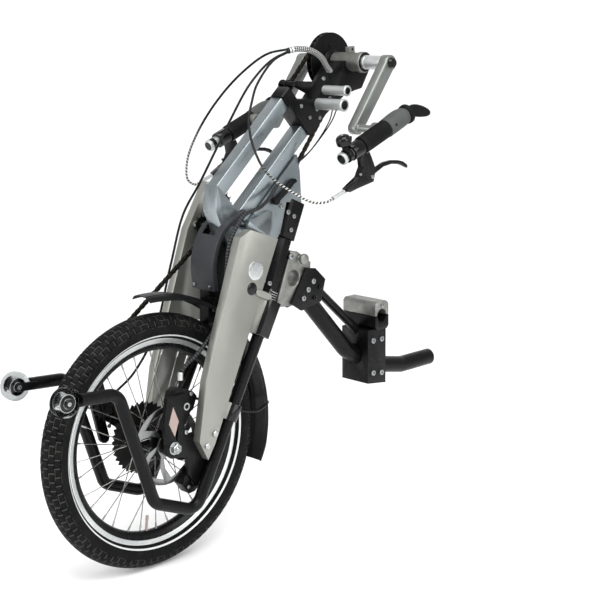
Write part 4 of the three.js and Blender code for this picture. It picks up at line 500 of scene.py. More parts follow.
def surface(name, grid, finish_name, closed_rows=False, closed_columns=True, caps=False, reach=None):
    """An object from a grid of points, with flat ends if asked, and with a map where reach is given."""
    rows, columns = grid.shape[:2]
    faces = grid_faces(rows, columns, closed_rows, closed_columns)
    if caps:
        first, last = range(columns), range((rows - 1) * columns, rows * columns)
        faces += [list(first)[::-1], list(last)]
    thing = mesh_object(name, grid, faces, finish_name)
    if reach is not None:
        unwrap(thing, reach, (rows, columns), closed_rows, closed_columns)
    return outwards(thing)


print("faces of a closed grid of 3 by 4:", len(grid_faces(3, 4, True)))

# %% Profiles spun about an axis
def turned(name, profile, centre, finish_name, steps=96, closed=False):
    """A profile of (radius, x) pairs spun about an axle along X: each point becomes a circle."""
    profile = np.asarray(profile, float)
    a = np.arange(steps) / steps * 2 * np.pi
    grid = np.empty((len(profile), steps, 3))
    grid[..., 0] = profile[:, 1, None]
    grid[..., 1] = centre[0] + profile[:, 0, None] * np.cos(a)
    grid[..., 2] = centre[1] + profile[:, 0, None] * np.sin(a)
    return surface(name, grid, finish_name, closed_rows=closed, caps=not closed)


def lathed(name, profile, origin, axis, finish_name, steps=48, closed=False):
    """A profile of (reach, radius) pairs spun about any axis: each point becomes a circle square to it."""
    profile = np.asarray(profile, float)
    axis = unit(axis)
    side = unit(np.cross(axis, (0, 0, 1) if abs(axis[0]) > 0.9 else (1, 0, 0)))
    up = np.cross(axis, side)
    a = (np.arange(steps) + 0.5) / steps * 2 * np.pi
    ring = np.cos(a)[:, None] * side + np.sin(a)[:, None] * up
    grid = np.asarray(origin, float) + profile[:, :1, None] * axis + profile[:, 1:, None] * ring
    return surface(name, grid, finish_name, closed_rows=closed, caps=not closed)


def softened(profile, size):
    """A profile whose corners are small arcs: parabolas between points a size before and after them."""
    p = np.asarray(profile, float)
    t = np.linspace(0, 1, 4)[:, None]
    rounded = [p[0]]
    for before, at, after in zip(p[:-2], p[1:-1], p[2:]):
        a, b = before - at, after - at
        long_a, long_b = np.linalg.norm(a), np.linalg.norm(b)
        reach = min(size, long_a / 2.1, long_b / 2.1)
        s = at + a / max(long_a, 1e-9) * reach
        e = at + b / max(long_b, 1e-9) * reach
        rounded += list((1 - t) ** 2 * s + 2 * t * (1 - t) * at + t ** 2 * e)
    return np.array(rounded + [p[-1]])


print("points of one softened corner:", len(softened([(0, 0), (5, 0), (5, 5)], 1)))

# %% Plates with broken edges
def edged(thing, width_mm):
    """Breaks the sharp edges of a piece with a bevel."""
    bevel = thing.modifiers.new("edges", "BEVEL")
    bevel.width = width_mm * MM
    bevel.segments = 2
    bevel.limit_method = "ANGLE"
    bevel.angle_limit = np.radians(30)
    bevel.use_clamp_overlap = True
    bevel.harden_normals = True
    return thing


def applied(thing):
    """The same piece with its modifiers worked into its mesh."""
    shown = thing.evaluated_get(bpy.context.evaluated_depsgraph_get())
    mesh = bpy.data.meshes.new_from_object(shown)
    thing.modifiers.clear()
    thing.data = mesh
    return thing


def slab(name, outline, low, high, finish_name, edge_mm=0.8):
    """A plate of one outline in the side plane, from x low to x high, with its edges broken."""
    outline = np.asarray(outline, float)
    n = len(outline)
    points = np.empty((2, n, 3))
    points[:, :, 0] = np.array([low, high])[:, None]
    points[:, :, 1:] = outline[None]
    faces = grid_faces(2, n) + [list(range(n)), list(range(n, 2 * n))]
    return edged(outwards(mesh_object(name, points, faces, finish_name)), edge_mm)


# %% Length along a line
def travelled(line):
    """How far along a line each of its points lies."""
    return np.concatenate([[0], np.cumsum(np.linalg.norm(np.diff(line, axis=0), axis=1))])


# %% Smooth lines
def curve_through(points, count):
    """A smooth line through points: a centripetal spline, cut into equal steps."""
    p = np.asarray(points, float)
    p = np.vstack([2 * p[0] - p[1], p, 2 * p[-1] - p[-2]])
    fine = []
    for p0, p1, p2, p3 in zip(p[:-3], p[1:-2], p[2:-1], p[3:]):
        t0 = 0.0
        t1 = t0 + np.linalg.norm(p1 - p0) ** 0.5
        t2 = t1 + np.linalg.norm(p2 - p1) ** 0.5
        t3 = t2 + np.linalg.norm(p3 - p2) ** 0.5
        t = np.linspace(t1, t2, 40, endpoint=False)[:, None]
        a1 = (t1 - t) / (t1 - t0) * p0 + (t - t0) / (t1 - t0) * p1
        a2 = (t2 - t) / (t2 - t1) * p1 + (t - t1) / (t2 - t1) * p2
        a3 = (t3 - t) / (t3 - t2) * p2 + (t - t2) / (t3 - t2) * p3
        b1 = (t2 - t) / (t2 - t0) * a1 + (t - t0) / (t2 - t0) * a2
        b2 = (t3 - t) / (t3 - t1) * a2 + (t - t1) / (t3 - t1) * a3
        fine.append((t2 - t) / (t2 - t1) * b1 + (t - t1) / (t2 - t1) * b2)
    line = np.vstack(fine + [p[-2][None]])
    reach = travelled(line)
    s = np.linspace(0, reach[-1], count)
    return np.stack([np.interp(s, reach, line[:, k]) for k in range(3)], 1)


# %% Bent lines
def bent(points, radius):
    """A line with straight runs whose corners are true bends of one radius: arcs swept about a centre."""
    p = np.asarray(points, float)
    t = np.linspace(0, 1, 11)[:, None]
    line = [p[0]]
    for before, at, after in zip(p[:-2], p[1:-1], p[2:]):
        a, b = unit(before - at), unit(after - at)
        half = np.arccos(np.clip(a @ b, -1, 1)) / 2
        trim = radius / np.tan(half)
        centre = at + unit(a + b) * (radius / np.sin(half))
        s, e = at + a * trim - centre, at + b * trim - centre
        sweep = np.arccos(np.clip(s @ e / radius ** 2, -1, 1))
        arc = np.sin((1 - t) * sweep) * s + np.sin(t * sweep) * e
        line += list(centre + arc / np.sin(sweep))
    return np.array(line + [p[-1]])


# %% Tubes
def tube(name, line, radius, finish_name, sides=20):
    """A round tube along a line: rings kept square to it, each turned as little as can be from the last."""
    line = np.asarray(line, float)
    tangent = np.gradient(line, axis=0)
    tangent /= np.linalg.norm(tangent, axis=1)[:, None]
    side = np.empty_like(line)
    first = np.array([1.0, 0, 0]) if abs(tangent[0, 0]) < 0.9 else np.array([0, 0, 1.0])
    for i, t in enumerate(tangent):
        first = unit(first - t * (first @ t))
        side[i] = first
    up = np.cross(tangent, side)
    a = (np.arange(sides) / sides * 2 * np.pi)[None, :, None]
    ring = np.cos(a) * side[:, None] + np.sin(a) * up[:, None]
    reach = (travelled(line), np.arange(sides + 1) / sides)
    return surface(name, line[:, None] + radius * ring, finish_name, caps=True, reach=reach)


# %% Pieces and the bodies that carry them
def joined(name, pieces):
    """Several pieces of one body as one object."""
    for other in bpy.context.selected_objects:
        other.select_set(False)
    with bpy.context.temp_override(
        active_object=pieces[0], selected_editable_objects=pieces, selected_objects=pieces
    ):
        if len(pieces) > 1:
            bpy.ops.object.join()
    pieces[0].name = name
    return pieces[0]


def placed(thing, node, stands_for=True):
    """Lets a new piece ride on the body of a solid and, if asked, stand for that solid."""
    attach(thing, NODES[node]["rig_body"])
    if stands_for:
        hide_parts(node)
    print(thing.name, len(thing.data.polygons), "faces")
    return thing


# %% Bolt heads
def stud(name, place, out, radius, depth, finish_name="bolt_steel", kind="socket"):
    """A bolt head on a surface: a round one with a socket, a hexagon with a broken rim, or a domed cap."""
    foot = -min(0.5, depth / 2)
    if kind == "hex":
        profile = [(foot, radius), (depth * 0.8, radius), (depth, radius * 0.86), (depth, 0.0)]
        return lathed(name, profile, place, out, finish_name, 6)
    if kind == "dome":
        t = np.linspace(0, np.pi / 2, 7)
        profile = [(foot, radius)] + [(depth * np.sin(a), radius * np.cos(a)) for a in t]
        return lathed(name, profile, place, out, finish_name, 32)
    hole = radius * 0.52
    profile = [
        (foot, radius), (depth * 0.72, radius), (depth * 0.94, radius * 0.94),
        (depth, radius * 0.82), (depth, hole), (depth * 0.35, hole * 0.96), (depth * 0.3, 0.0),
    ]
    return lathed(name, profile, place, out, finish_name, 24)


def heads(x, places, radius, depth, finish_name="bolt_steel", kind="socket", out=None):
    """Rows for heads on a face square to X. They point away from the middle plane unless out is given."""
    out = out or float(np.sign(x))
    return [((x, y, z), (out, 0, 0), radius, depth, finish_name, kind) for y, z in places]


def studs(name, node, *groups):
    """All the heads of one solid as one piece."""
    rows = [row for group in groups for row in group]
    pieces = [stud(f"{name}_{i}", *row) for i, row in enumerate(rows)]
    placed(joined(name, pieces), node, stands_for=False)


# %% [markdown]
# ## Plates, blocks and castings
# The real parts are sawn plate, bent tube and castings, and all of them are deburred before they are coated.
# Their solids already have the right form, so they could be shown as they are; but a sharp edge never
# catches light. Each one is copied, its loose triangles are merged back into whole faces, and a bevel of
# the width that a file or a tumbler leaves draws a thin bright line along its edges.

# %% Rounded copies of the solids
EDGE_WIDTHS = {
    "fork_blade_left": 2.2, "fork_blade_right": 2.2, "fork_crown": 2.0, "mast_tube_front": 2.2,
    "mast_tube_rear": 2.2, "head_bracket": 1.2, "steering_column": 1.5, "head_tube": 1.5,
    "dropout_left": 0.8, "dropout_right": 0.8, "brake_caliper_upper": 1.5,
    "brake_caliper_lower": 1.5, "derailleur_body": 1.5, "derailleur_cage": 0.5,
    "dock_casting": 2.0, "dock_side_plate_left": 0.8, "dock_side_plate_right": 0.8,
    "boom_post": 1.6, "frame_clamp_cap": 1.6, "crank_arm_left": 2.4, "crank_arm_right": 2.4,
    "mast_release_lever": 1.2, "cassette": 0.25, "idler_upper": 0.4, "idler_lower": 0.4,
    "guide_pulley": 0.4, "tension_pulley": 0.4, "brake_lever_left": 1.6, "brake_lever_right": 1.6,
    "lever_bracket_left": 1.0, "lever_bracket_right": 1.0, "brake_rotor": 0.3,
}
OWN_FINISH = {
    "crank_arm_left": "arm_coat", "crank_arm_right": "arm_coat",
    "mast_tube_front": "mast_anodised", "mast_tube_rear": "mast_anodised",
    "fork_crown": "mast_anodised", "lever_bracket_left": "black_gloss",
    "lever_bracket_right": "black_gloss", "brake_lever_left": "black_gloss",
    "brake_lever_right": "black_gloss", "brake_rotor": "rotor_steel",
}


# %% Copies with broken edges
def dressed(node, width_mm, finish_name):
    """A copy of a solid's mesh whose flat faces are whole again, with its edges broken."""
    thing = NODES[node].copy()
    thing.data = NODES[node].data.copy()
    thing.name = f"{node}_dressed"
    bpy.context.scene.collection.objects.link(thing)
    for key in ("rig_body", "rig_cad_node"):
        if key in thing:
            del thing[key]
    thing.parent = None
    bm = bmesh.new()
    bm.from_mesh(thing.data)
    bmesh.ops.remove_doubles(bm, verts=bm.verts, dist=2e-6)
    bmesh.ops.dissolve_limit(bm, angle_limit=np.radians(1.0), verts=bm.verts, edges=bm.edges)
    bmesh.ops.recalc_face_normals(bm, faces=bm.faces)
    bm.to_mesh(thing.data)
    bm.free()
    thing.data.materials.clear()
    thing.data.materials.append(FINISHES[finish_name])
    thing.data.polygons.foreach_set("use_smooth", np.full(len(thing.data.polygons), True))
    return placed(edged(thing, width_mm), node)


for node, width in EDGE_WIDTHS.items():
    dressed(node, width, OWN_FINISH.get(node, SLOT_FINISH[NODE_SLOT[node]]))

# %% [markdown]
# ## Black sleeves of the blades
# The stand turns in a black sleeve that shows on the outside of each silver blade. The sleeve is part of the
# blade's solid, so its faces only need a second finish. They are picked by where they lie along the stand's
# axis, which is safer than picking them by number.

# %% Second finish on the blades
SLEEVE_SPANS, SLEEVE_HALF_WIDTH = [(150, 246), (-19, 19)], 19.5


def sleeved(node):
    """Gives black to the faces whose corners all lie in a span along the stand's axis and close to it."""
    mesh = bpy.data.objects[f"{node}_dressed"].data
    corners = np.empty(len(mesh.vertices) * 3)
    mesh.vertices.foreach_get("co", corners)
    away = corners.reshape(-1, 3)[:, 1:] / MM - STAND_PIVOT
    h = heading(STAND_ANGLE)
    reach, aside = away @ h, np.abs(away @ np.array([-h[1], h[0]]))
    inside = np.zeros(len(reach), bool)
    for low, high in SLEEVE_SPANS:
        inside |= (reach > low) & (reach < high) & (aside < SLEEVE_HALF_WIDTH)
    mesh.materials.append(FINISHES["black_gloss"])
    whole = [all(inside[v] for v in face.vertices) for face in mesh.polygons]
    mesh.polygons.foreach_set("material_index", np.array(whole, np.int32))
    print(node, "black faces", sum(whole))


for side, word in SIDES:
    sleeved(f"fork_blade_{word}")

# %% [markdown]
# ## Tyre
# A 20-inch tyre for loose ground, with square blocks in rows that are half a block apart. The tread could be
# a bump map, but its outline has to be rough against the white, so the blocks are real. The section is an
# oval and the grooves are cut into it where a row or a column of the grid is a groove.

# %% Tyre
GROOVE_DEPTH, BEAD_ANGLE, ROWS_PER_BLOCK = 1.5, 150, 8


def tyre_section(angle, out=0.0):
    """Radius and x of the tyre's skin at an angle from the crown: a cosine and a sine of it."""
    a = np.radians(angle)
    return 208.6 + (49.4 + out) * (0.46 + 0.54 * np.cos(a)), (SKIN_REACH + out) * np.sin(a)


def tyre():
    """Columns run from bead to bead and rows round the wheel; one row of each block is a cross groove."""
    rows = TREAD_BLOCKS * ROWS_PER_BLOCK
    edges = np.linspace(-TREAD_EDGE, TREAD_EDGE, TREAD_BANDS + 1)
    step = edges[1] - edges[0]
    inner = [edges[:-1] + step * share for share in (0.07, 0.35, 0.65, 0.93)]
    band = np.concatenate([edges, *inner])
    groove = np.concatenate([np.ones(len(edges)), np.zeros(len(band) - len(edges))])
    order = np.argsort(band)
    wall = np.linspace(BEAD_ANGLE, TREAD_EDGE + 1.5, 22)
    angle = np.concatenate([-wall, band[order], wall[::-1]])
    flat = np.zeros(len(wall))
    cut_columns = np.concatenate([flat, groove[order], flat])
    row_of_band = np.floor((angle + TREAD_EDGE) / step).astype(int)
    on_crown = (np.abs(angle) < TREAD_EDGE + 0.1).astype(float)
    shift = (row_of_band[None, :] % 2) * (ROWS_PER_BLOCK // 2)
    cross = ((np.arange(rows)[:, None] + shift) % ROWS_PER_BLOCK == 0) * on_crown[None, :]
    cut = np.maximum(cross, cut_columns[None, :] * np.ones((rows, 1)))
    radius, x = tyre_section(angle)
    nearer, narrower = tyre_section(angle, -GROOVE_DEPTH)
    a = (np.arange(rows) / rows * 2 * np.pi)[:, None]
    r = radius[None, :] * (1 - cut) + nearer[None, :] * cut
    xx = x[None, :] * (1 - cut) + narrower[None, :] * cut
    grid = np.stack([xx, AXLE[0] + r * np.cos(a), AXLE[1] + r * np.sin(a)], -1)
    round_wheel = np.arange(rows + 1) / rows * TYRE_ROUND
    over_section = np.radians(np.append(angle, BEAD_ANGLE)) * SKIN_REACH
    return surface(
        "tyre_treaded", grid, "tyre_rubber", True, True, reach=(round_wheel, over_section)
    )


placed(tyre(), "front_tyre")

# %% [markdown]
# ## Rim
# The rim is an extruded hoop, black all over, with a bright turned track on each side. It is one half
# section, mirrored and spun, and the faces of the track take the second finish.

# %% Rim
HALF_RIM = [
    (209, 12.4), (209.4, 13.6), (209, 15.0), (207.2, 15.2), (206.4, 14.7), (200.5, 14.7),
    (199.5, 14.0), (196, 12.8), (191, 10.8), (187, 8.2), (184.6, 5.0), (184, 2.0),
]
RIM_BED, RIM_BED_HALF, TRACK_X, TRACK_RADIUS = 196.6, 6, 13.9, 199


def rim():
    """The whole section: half, mirrored half and the bed under the tyre; then the track's faces."""
    section = HALF_RIM + [(r, -x) for r, x in HALF_RIM[::-1]]
    section += [(RIM_BED, -RIM_BED_HALF), (RIM_BED, RIM_BED_HALF)]
    hoop = turned("rim_dressed", section, AXLE, "rim_black", 192, closed=True)
    hoop.data.materials.append(FINISHES["rim_track"])
    centres = np.empty(len(hoop.data.polygons) * 3)
    hoop.data.polygons.foreach_get("center", centres)
    centres = centres.reshape(-1, 3) / MM
    radius = np.hypot(centres[:, 1] - AXLE[0], centres[:, 2] - AXLE[1])
    track = (np.abs(centres[:, 0]) > TRACK_X) & (radius > TRACK_RADIUS)
    hoop.data.polygons.foreach_set("material_index", track.astype(np.int32))
    return hoop


placed(rim(), "front_rim")

# %% [markdown]
# ## Reflective lines
# Each side wall carries a pale reflective ring. It could be painted by the tyre's finish, but its edge has
# to stay crisp from close by, so it is a thin band of its own that follows the same section.

# %% Reflective lines
def reflective_line(side, word):
    """A closed section from a little outside the tyre's skin to a little inside it, spun about the axle."""
    angle = np.linspace(122, 130, 6)
    outer = np.stack(tyre_section(angle, 0.45), 1)
    inner = np.stack(tyre_section(angle, -0.4), 1)[::-1]
    section = np.vstack([outer, inner]) * [1, side]
    return turned(f"reflective_line_{word}", section, AXLE, "reflector", 192, closed=True)


lines = [reflective_line(*side) for side in SIDES]
placed(joined("reflective_lines", lines), "front_tyre", stands_for=False)

# %% [markdown]
# ## Valve
# The valve is a turned brass stem with a locking ring at the rim and a capped end that points to the axle. It
# could be stacked from cylinders, but one profile on the lathe holds all its steps.

# %% Valve
VALVE_ANGLE, VALVE_FOOT = -97, 186
STEM = [
    (0, 3.4), (3.2, 3.4), (3.4, 2.7), (22, 2.7), (22.3, 3.2), (31, 3.2), (33, 2.2), (33, 0.0),
]
foot = across(along(AXLE, VALVE_ANGLE, VALVE_FOOT))
valve = lathed("valve", STEM, foot, -across(heading(VALVE_ANGLE)), "pale_insert", 24)
placed(valve, "front_rim", stands_for=False)

# %% [markdown]
# ## Hub and spokes
# A wheel this small has thirty-two spokes, crossed in pairs so that they can pull the wheel round. Each one
# is a plain thin tube with a nipple at the rim; the hub is one profile on the lathe. One spoke could be
# copied round, but the flanges differ and every second spoke leans the other way, so a loop works out the
# two ends of each.

# %% Hub and spokes
FLANGES = ((30, 27, 0, 1), (-24, 22, 11.25, -1))
SPOKES_A_SIDE, LEAD_ANGLE, NIPPLE_RADIUS, NIPPLE_LENGTH = 16, 45, 184.4, 12
HUB = [
    (6.6, -28), (15, -28), (15, -26), (25, -25.5), (25, -22.5), (16, -19), (13, -6), (13, 8),
    (17, 24), (30, 28.5), (30, 31.5), (15, 33), (17, 38), (20, 41), (20, 44.6), (10, 44.8),
    (10, 61), (6.6, 61.1),
]


def spokes():
    """From each flange, spokes lead forward and back in turn by the same angle at the rim."""
    pieces = []
    for flange_x, flange_radius, phase, side in FLANGES:
        for i in range(SPOKES_A_SIDE):
            angle = phase + i * 360 / SPOKES_A_SIDE
            lead = 1 if i % 2 == 0 else -1
            a = across(along(AXLE, angle, flange_radius), flange_x + 1.9 * lead)
            b = across(along(AXLE, angle + LEAD_ANGLE * lead, NIPPLE_RADIUS), side * 3.0)
            n = b + unit(a - b) * NIPPLE_LENGTH
            pieces.append(tube(f"spoke_{side}_{i}", [a, b], 1.0, "spoke_steel", 8))
            pieces.append(tube(f"nipple_{side}_{i}", [n, b], 1.9, "bolt_steel", 8))
    return pieces


hub = turned("hub_turned", softened(HUB, 1.2), AXLE, "black_coat", 64)
placed(joined("spoked_hub_dressed", [hub] + spokes()), "spoked_hub")

# %% [markdown]
# ## Wheel axle
# The axle is a turned rod that is clamped in the blades by a washer and a nut on each side. A hexagon could
# be cut out of a block, but a profile that is spun in only six steps is a nut already.

# %% Wheel axle
def wheel_axle():
    """A rod spun about the axle, then a washer and a six-sided nut on each blade."""
    rod = softened([(3.2, -84), (6, -82), (6, 82), (3.2, 84)], 1.5)
    washer = [(0, 13), (1.6, 13), (1.8, 12.6), (1.8, 6)]
    nut = [(1.8, 11.0), (9.6, 11.0), (11, 9.6), (11, 6)]
    pieces = [turned("axle_rod", rod, AXLE, "bolt_steel", 32)]
    for side, _ in SIDES:
        base, out = across(AXLE, side * 69.9), (side, 0, 0)
        pieces.append(lathed(f"washer_{side}", washer, base, out, "bolt_steel", 40))
        pieces.append(lathed(f"nut_{side}", nut, base, out, "bolt_steel", 6))
    return joined("wheel_axle_turned", pieces)


placed(wheel_axle(), "wheel_axle")

# %% [markdown]
# ## Mudguard
# The guard is vacuum-formed: a thin strip, crowned across, with two pressed grooves that stiffen it. It is a
# grid with an outer and an inner skin in one closed section, because a wall added by a modifier would be
# uneven at the tapered ends. Wire stays and a bracket on the crown hold it.

# %% Mudguard
GUARD_FROM, GUARD_TO, GUARD_RADIUS, GUARD_HALF, GUARD_WALL = -21, 93, 297, 32, 2.3
STAY_ANGLE = 4
STAY_FOOT = np.array([105.7, 319.8])
GUARD_BRACKET = [
    (160, 648), (186, 640), (210, 588), (199, 471), (143, 473), (146, 543), (145, 600),
]


def guard_sheet():
    """The radius falls with the fourth power of x and dips by a bell curve in each groove."""
    angle = np.radians(np.linspace(GUARD_FROM, GUARD_TO, 110))[:, None]
    x = np.linspace(-1, 1, 41)
    grooves = 0.9 * np.exp(-(((np.abs(x) - 0.6) / 0.05) ** 2))
    outer = GUARD_RADIUS - 9 * x ** 4 - grooves
    radius = np.concatenate([outer, (outer - GUARD_WALL)[::-1]])[None, :]
    wide = np.concatenate([x, x[::-1]]) * GUARD_HALF
    taper = np.ones(len(angle))
    taper[:8] = np.linspace(0.72, 1, 8) ** 0.5
    taper[-8:] = np.linspace(1, 0.72, 8) ** 0.5
    y, z = AXLE[0] + radius * np.cos(angle), AXLE[1] + radius * np.sin(angle)
    grid = np.stack([wide[None, :] * taper[:, None], y, z], -1)
    return surface("guard_sheet", grid, "black_plastic", caps=True)


# %% Mudguard with its stays
def mudguard():
    """The sheet, two stays with their eyes and clips, the bracket and its bolts."""
    pieces = [guard_sheet()]
    eye = [(-3.5, 6), (3.8, 6), (4.8, 5.2), (4.8, 2)]
    for side, _ in SIDES:
        top = across(along(AXLE, STAY_ANGLE, 287), side * 29)
        line = [top, top + [side * 12, -40, -4], across(STAY_FOOT, side * 64)]
        clip = across(along(AXLE, STAY_ANGLE, 296.2), side * 22)
        base = across(STAY_FOOT, side * 64.6)
        pieces.append(tube(f"stay_{side}", curve_through(line, 24), 3, "black_coat", 16))
        pieces.append(lathed(f"stay_eye_{side}", eye, base, (side, 0, 0), "black_coat", 28))
        pieces.append(stud(f"stay_clip_{side}", clip, (0, 1, 0.05), 3.6, 2.2))
    pieces.append(applied(slab("guard_bracket", GUARD_BRACKET, -14, 14, "black_coat", 1.5)))
    for i, row in enumerate(heads(14, [(158, 500), (184, 500), (171, 486)], 4, 2.6)):
        pieces.append(stud(f"guard_bolt_{i}", *row))
    return joined("mudguard_formed", pieces)


placed(mudguard(), "mudguard")

# %% [markdown]
# ## Cover
# The drive hides behind a moulded shield. It is one skin carried along a curve in the side plane; Solidify
# gives it an even wall, as an injection tool does. The faces where the crown's nose comes through are left
# out before the wall is made.

# %% Cover
COVER_CURVE = [(140.2, 542.9), (137.6, 602.5), (163, 662.1), (195, 686), (232, 700)]
COVER_HALF, NOSE_HALF, NOSE_ROW, COVER_WALL = 34.5, 19.8, 33, 2.6


def cover_skin():
    """Across the shield the depth is a shallow parabola that turns back by a steep power at the edges."""
    path = curve_through([across(p) for p in COVER_CURVE], 61)
    along_path = np.gradient(path, axis=0)
    along_path /= np.linalg.norm(along_path, axis=1)[:, None]
    back = np.stack([np.zeros(len(path)), along_path[:, 2], -along_path[:, 1]], 1)
    u = np.linspace(-1, 1, 49)
    spread = 1 - (1 - np.minimum(np.abs(u) / 0.86, 1)) ** 1.25
    x = np.sign(u) * COVER_HALF * spread
    turned_back = 10.5 * np.clip((np.abs(u) - 0.78) / 0.22, 0, 1) ** 1.3
    depth = 1.6 + 1.2 * (x / COVER_HALF) ** 2 + turned_back
    grid = path[:, None, :] + depth[None, :, None] * back[:, None, :]
    grid[..., 0] = x[None, :]
    rows, columns = grid.shape[:2]
    faces = np.array(grid_faces(rows, columns, False, False)).reshape(rows - 1, columns - 1, 4)
    middle = np.abs((x[1:] + x[:-1]) / 2) < NOSE_HALF
    open_part = (np.arange(rows - 1) > NOSE_ROW)[:, None] & middle[None, :]
    return mesh_object("cover_formed", grid, faces[~open_part].tolist(), "shell_plastic")


# %% Cover with its wall
def cover():
    """The skin with its outside to the front, then its wall, then two bolts."""
    shell = cover_skin()
    normals = np.empty(len(shell.data.polygons) * 3)
    shell.data.polygons.foreach_get("normal", normals)
    if normals.reshape(-1, 3)[:, 1].mean() > 0:
        shell.data.flip_normals()
    bm = bmesh.new()
    bm.from_mesh(shell.data)
    bmesh.ops.delete(bm, geom=[v for v in bm.verts if not v.link_faces], context="VERTS")
    bm.to_mesh(shell.data)
    bm.free()
    wall = shell.modifiers.new("wall", "SOLIDIFY")
    wall.thickness = COVER_WALL * MM
    wall.offset = -1
    outwards(applied(shell))
    bolts = [
        stud(f"cover_bolt_{i}", (x, 140.5, 552), (0, -1, -0.05), 3.4, 2.4)
        for i, x in enumerate((-24, 24))
    ]
    return joined("cover_formed", [shell] + bolts)


placed(cover(), "cover_shell")

# %% [markdown]
# ## Chain
# A bicycle chain is pairs of pressed plates on pins, half an inch from pin to pin. The loop runs over six
# wheels in turn. Each wheel is passed on its left or its right, and the straight run between two of them is
# their common tangent. An array along a curve would be less work, but it bends and stretches the links; here
# every pin has its own place, so that each tooth stands in a gap.

# %% Chain path
WHEELS = [
    (AXLE, 20, 1), (CRANK, 28, 1), (UPPER_IDLER, 11, 1), (LOWER_IDLER, 11, -1),
    (TENSION_PULLEY, 11, 1), (GUIDE_PULLEY, 11, -1),
]


def pitch_radius(teeth):
    """Radius on which the pins run over a wheel: as many pitches as it has teeth, bent into a circle."""
    return teeth * PITCH / (2 * np.pi)


def tangent(first, second):
    """Angles at which the straight run leaves one wheel and lands on the next.

    The radius square to the run leans from the line of centres by an angle whose cosine is the difference
    of the two radii over the distance. A wheel that is passed on its other side counts as negative.
    """
    span = second[0] - first[0]
    direction = np.degrees(np.arctan2(span[1], span[0]))
    r0, r1 = pitch_radius(first[1]) * first[2], pitch_radius(second[1]) * second[2]
    normal = direction - np.degrees(np.arccos((r0 - r1) / np.linalg.norm(span)))
    return normal + (180 if first[2] < 0 else 0), normal + (180 if second[2] < 0 else 0)


# %% Closed path and its pins
def loop():
    """The whole path as a fine line: an arc on each wheel, starting where the chain lands on the cassette."""
    runs = [tangent(WHEELS[i], WHEELS[(i + 1) % 6]) for i in range(6)]
    line = []
    for i, (centre, teeth, turn) in enumerate(WHEELS):
        landed, leave = runs[i - 1][1], runs[i][0]
        sweep = ((leave - landed) * turn) % 360
        a = np.radians(landed + turn * np.linspace(0, sweep, max(int(sweep * 3), 2)))
        line.append(centre + pitch_radius(teeth) * np.stack([np.cos(a), np.sin(a)], 1))
    line = np.vstack(line + [line[0][:1]])
    return np.column_stack([np.full(len(line), CHAIN_X), line])


def pins_of(path):
    """Places of the pins: equal steps along the loop, as many as half inches fit."""
    reach = travelled(path)
    count = int(round(reach[-1] / PITCH))
    s = np.arange(count) * reach[-1] / count
    return np.stack([np.interp(s, reach, path[:, k]) for k in (1, 2)], 1)


PINS = pins_of(loop())
print("chain links", len(PINS))

# %% Chain links
PLATE_END, PLATE_WAIST, PLATE_WALL = 4.1, 3.1, 0.9
OUTER_X, INNER_X = 2.45, 1.5
PIN_STEPS = [(1.8, -3.7), (3.9, -1.45), (3.9, 1.45), (1.8, 3.7)]


def chain_plates():
    """Outer and inner pairs in turn. A plate is a half circle round each pin, with a waist between them."""
    a = np.linspace(-np.pi / 2, np.pi / 2, 9)
    end = np.stack([PITCH / 2 + PLATE_END * np.cos(a), PLATE_END * np.sin(a)], 1)
    waist = np.array([[0, PLATE_WAIST]])
    outline = np.vstack([end, waist, -end, -waist])
    m = len(outline)
    ahead = np.roll(PINS, -1, axis=0)
    middle = (PINS + ahead) / 2
    h = (ahead - PINS) / np.linalg.norm(ahead - PINS, axis=1)[:, None]
    points, faces = [], []
    for i in range(len(PINS)):
        low = OUTER_X if i % 2 == 0 else INNER_X
        y = middle[i, 0] + outline[:, 0] * h[i, 0] - outline[:, 1] * h[i, 1]
        z = middle[i, 1] + outline[:, 0] * h[i, 1] + outline[:, 1] * h[i, 0]
        for side, _ in SIDES:
            near = len(points) * m
            far = near + m
            for x in (low, low + PLATE_WALL):
                points.append(np.column_stack([np.full(m, CHAIN_X + side * x), y, z]))
            faces += [list(range(near, far)), list(range(far, far + m))[::-1]]
            faces += [[near + k, far + k, far + (k + 1) % m, near + (k + 1) % m] for k in range(m)]
    return outwards(mesh_object("chain_plates", np.vstack(points), faces, "chain_steel", smooth=False))


# %% Chain rollers
def chain_rollers():
    """A stepped barrel of twelve sides on each pin: narrow at the plates and wide between them."""
    b = np.arange(12) / 12 * 2 * np.pi
    grid = np.empty((len(PINS), 4, 12, 3))
    for k, (r, x) in enumerate(PIN_STEPS):
        grid[:, k, :, 0] = CHAIN_X + x
        grid[:, k, :, 1] = PINS[:, 0, None] + r * np.cos(b)
        grid[:, k, :, 2] = PINS[:, 1, None] + r * np.sin(b)
    faces = []
    for base in range(0, len(PINS) * 48, 48):
        faces += grid_faces(4, 12, start=base)
        faces += [list(range(base, base + 12)), list(range(base + 36, base + 48))[::-1]]
    return outwards(mesh_object("chain_rollers", grid, faces, "chain_steel"))


# %% Chain as one piece
links = joined("chain_links", [chain_plates(), chain_rollers()])
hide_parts("chain")
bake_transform(links)
print("chain faces", len(links.data.polygons))

# %% [markdown]
# ## Chainring
# The ring itself hides between two round guards that keep clothes out of the teeth. The teeth could be cut
# out one by one, but they are a wave in the radius: low under each roller and high between two of them. The
# phase comes from the nearest pin, so the ring is in mesh at rest.

# %% Chainring
TOOTH_TIP, TOOTH_VALLEY = 4.4, 3.6


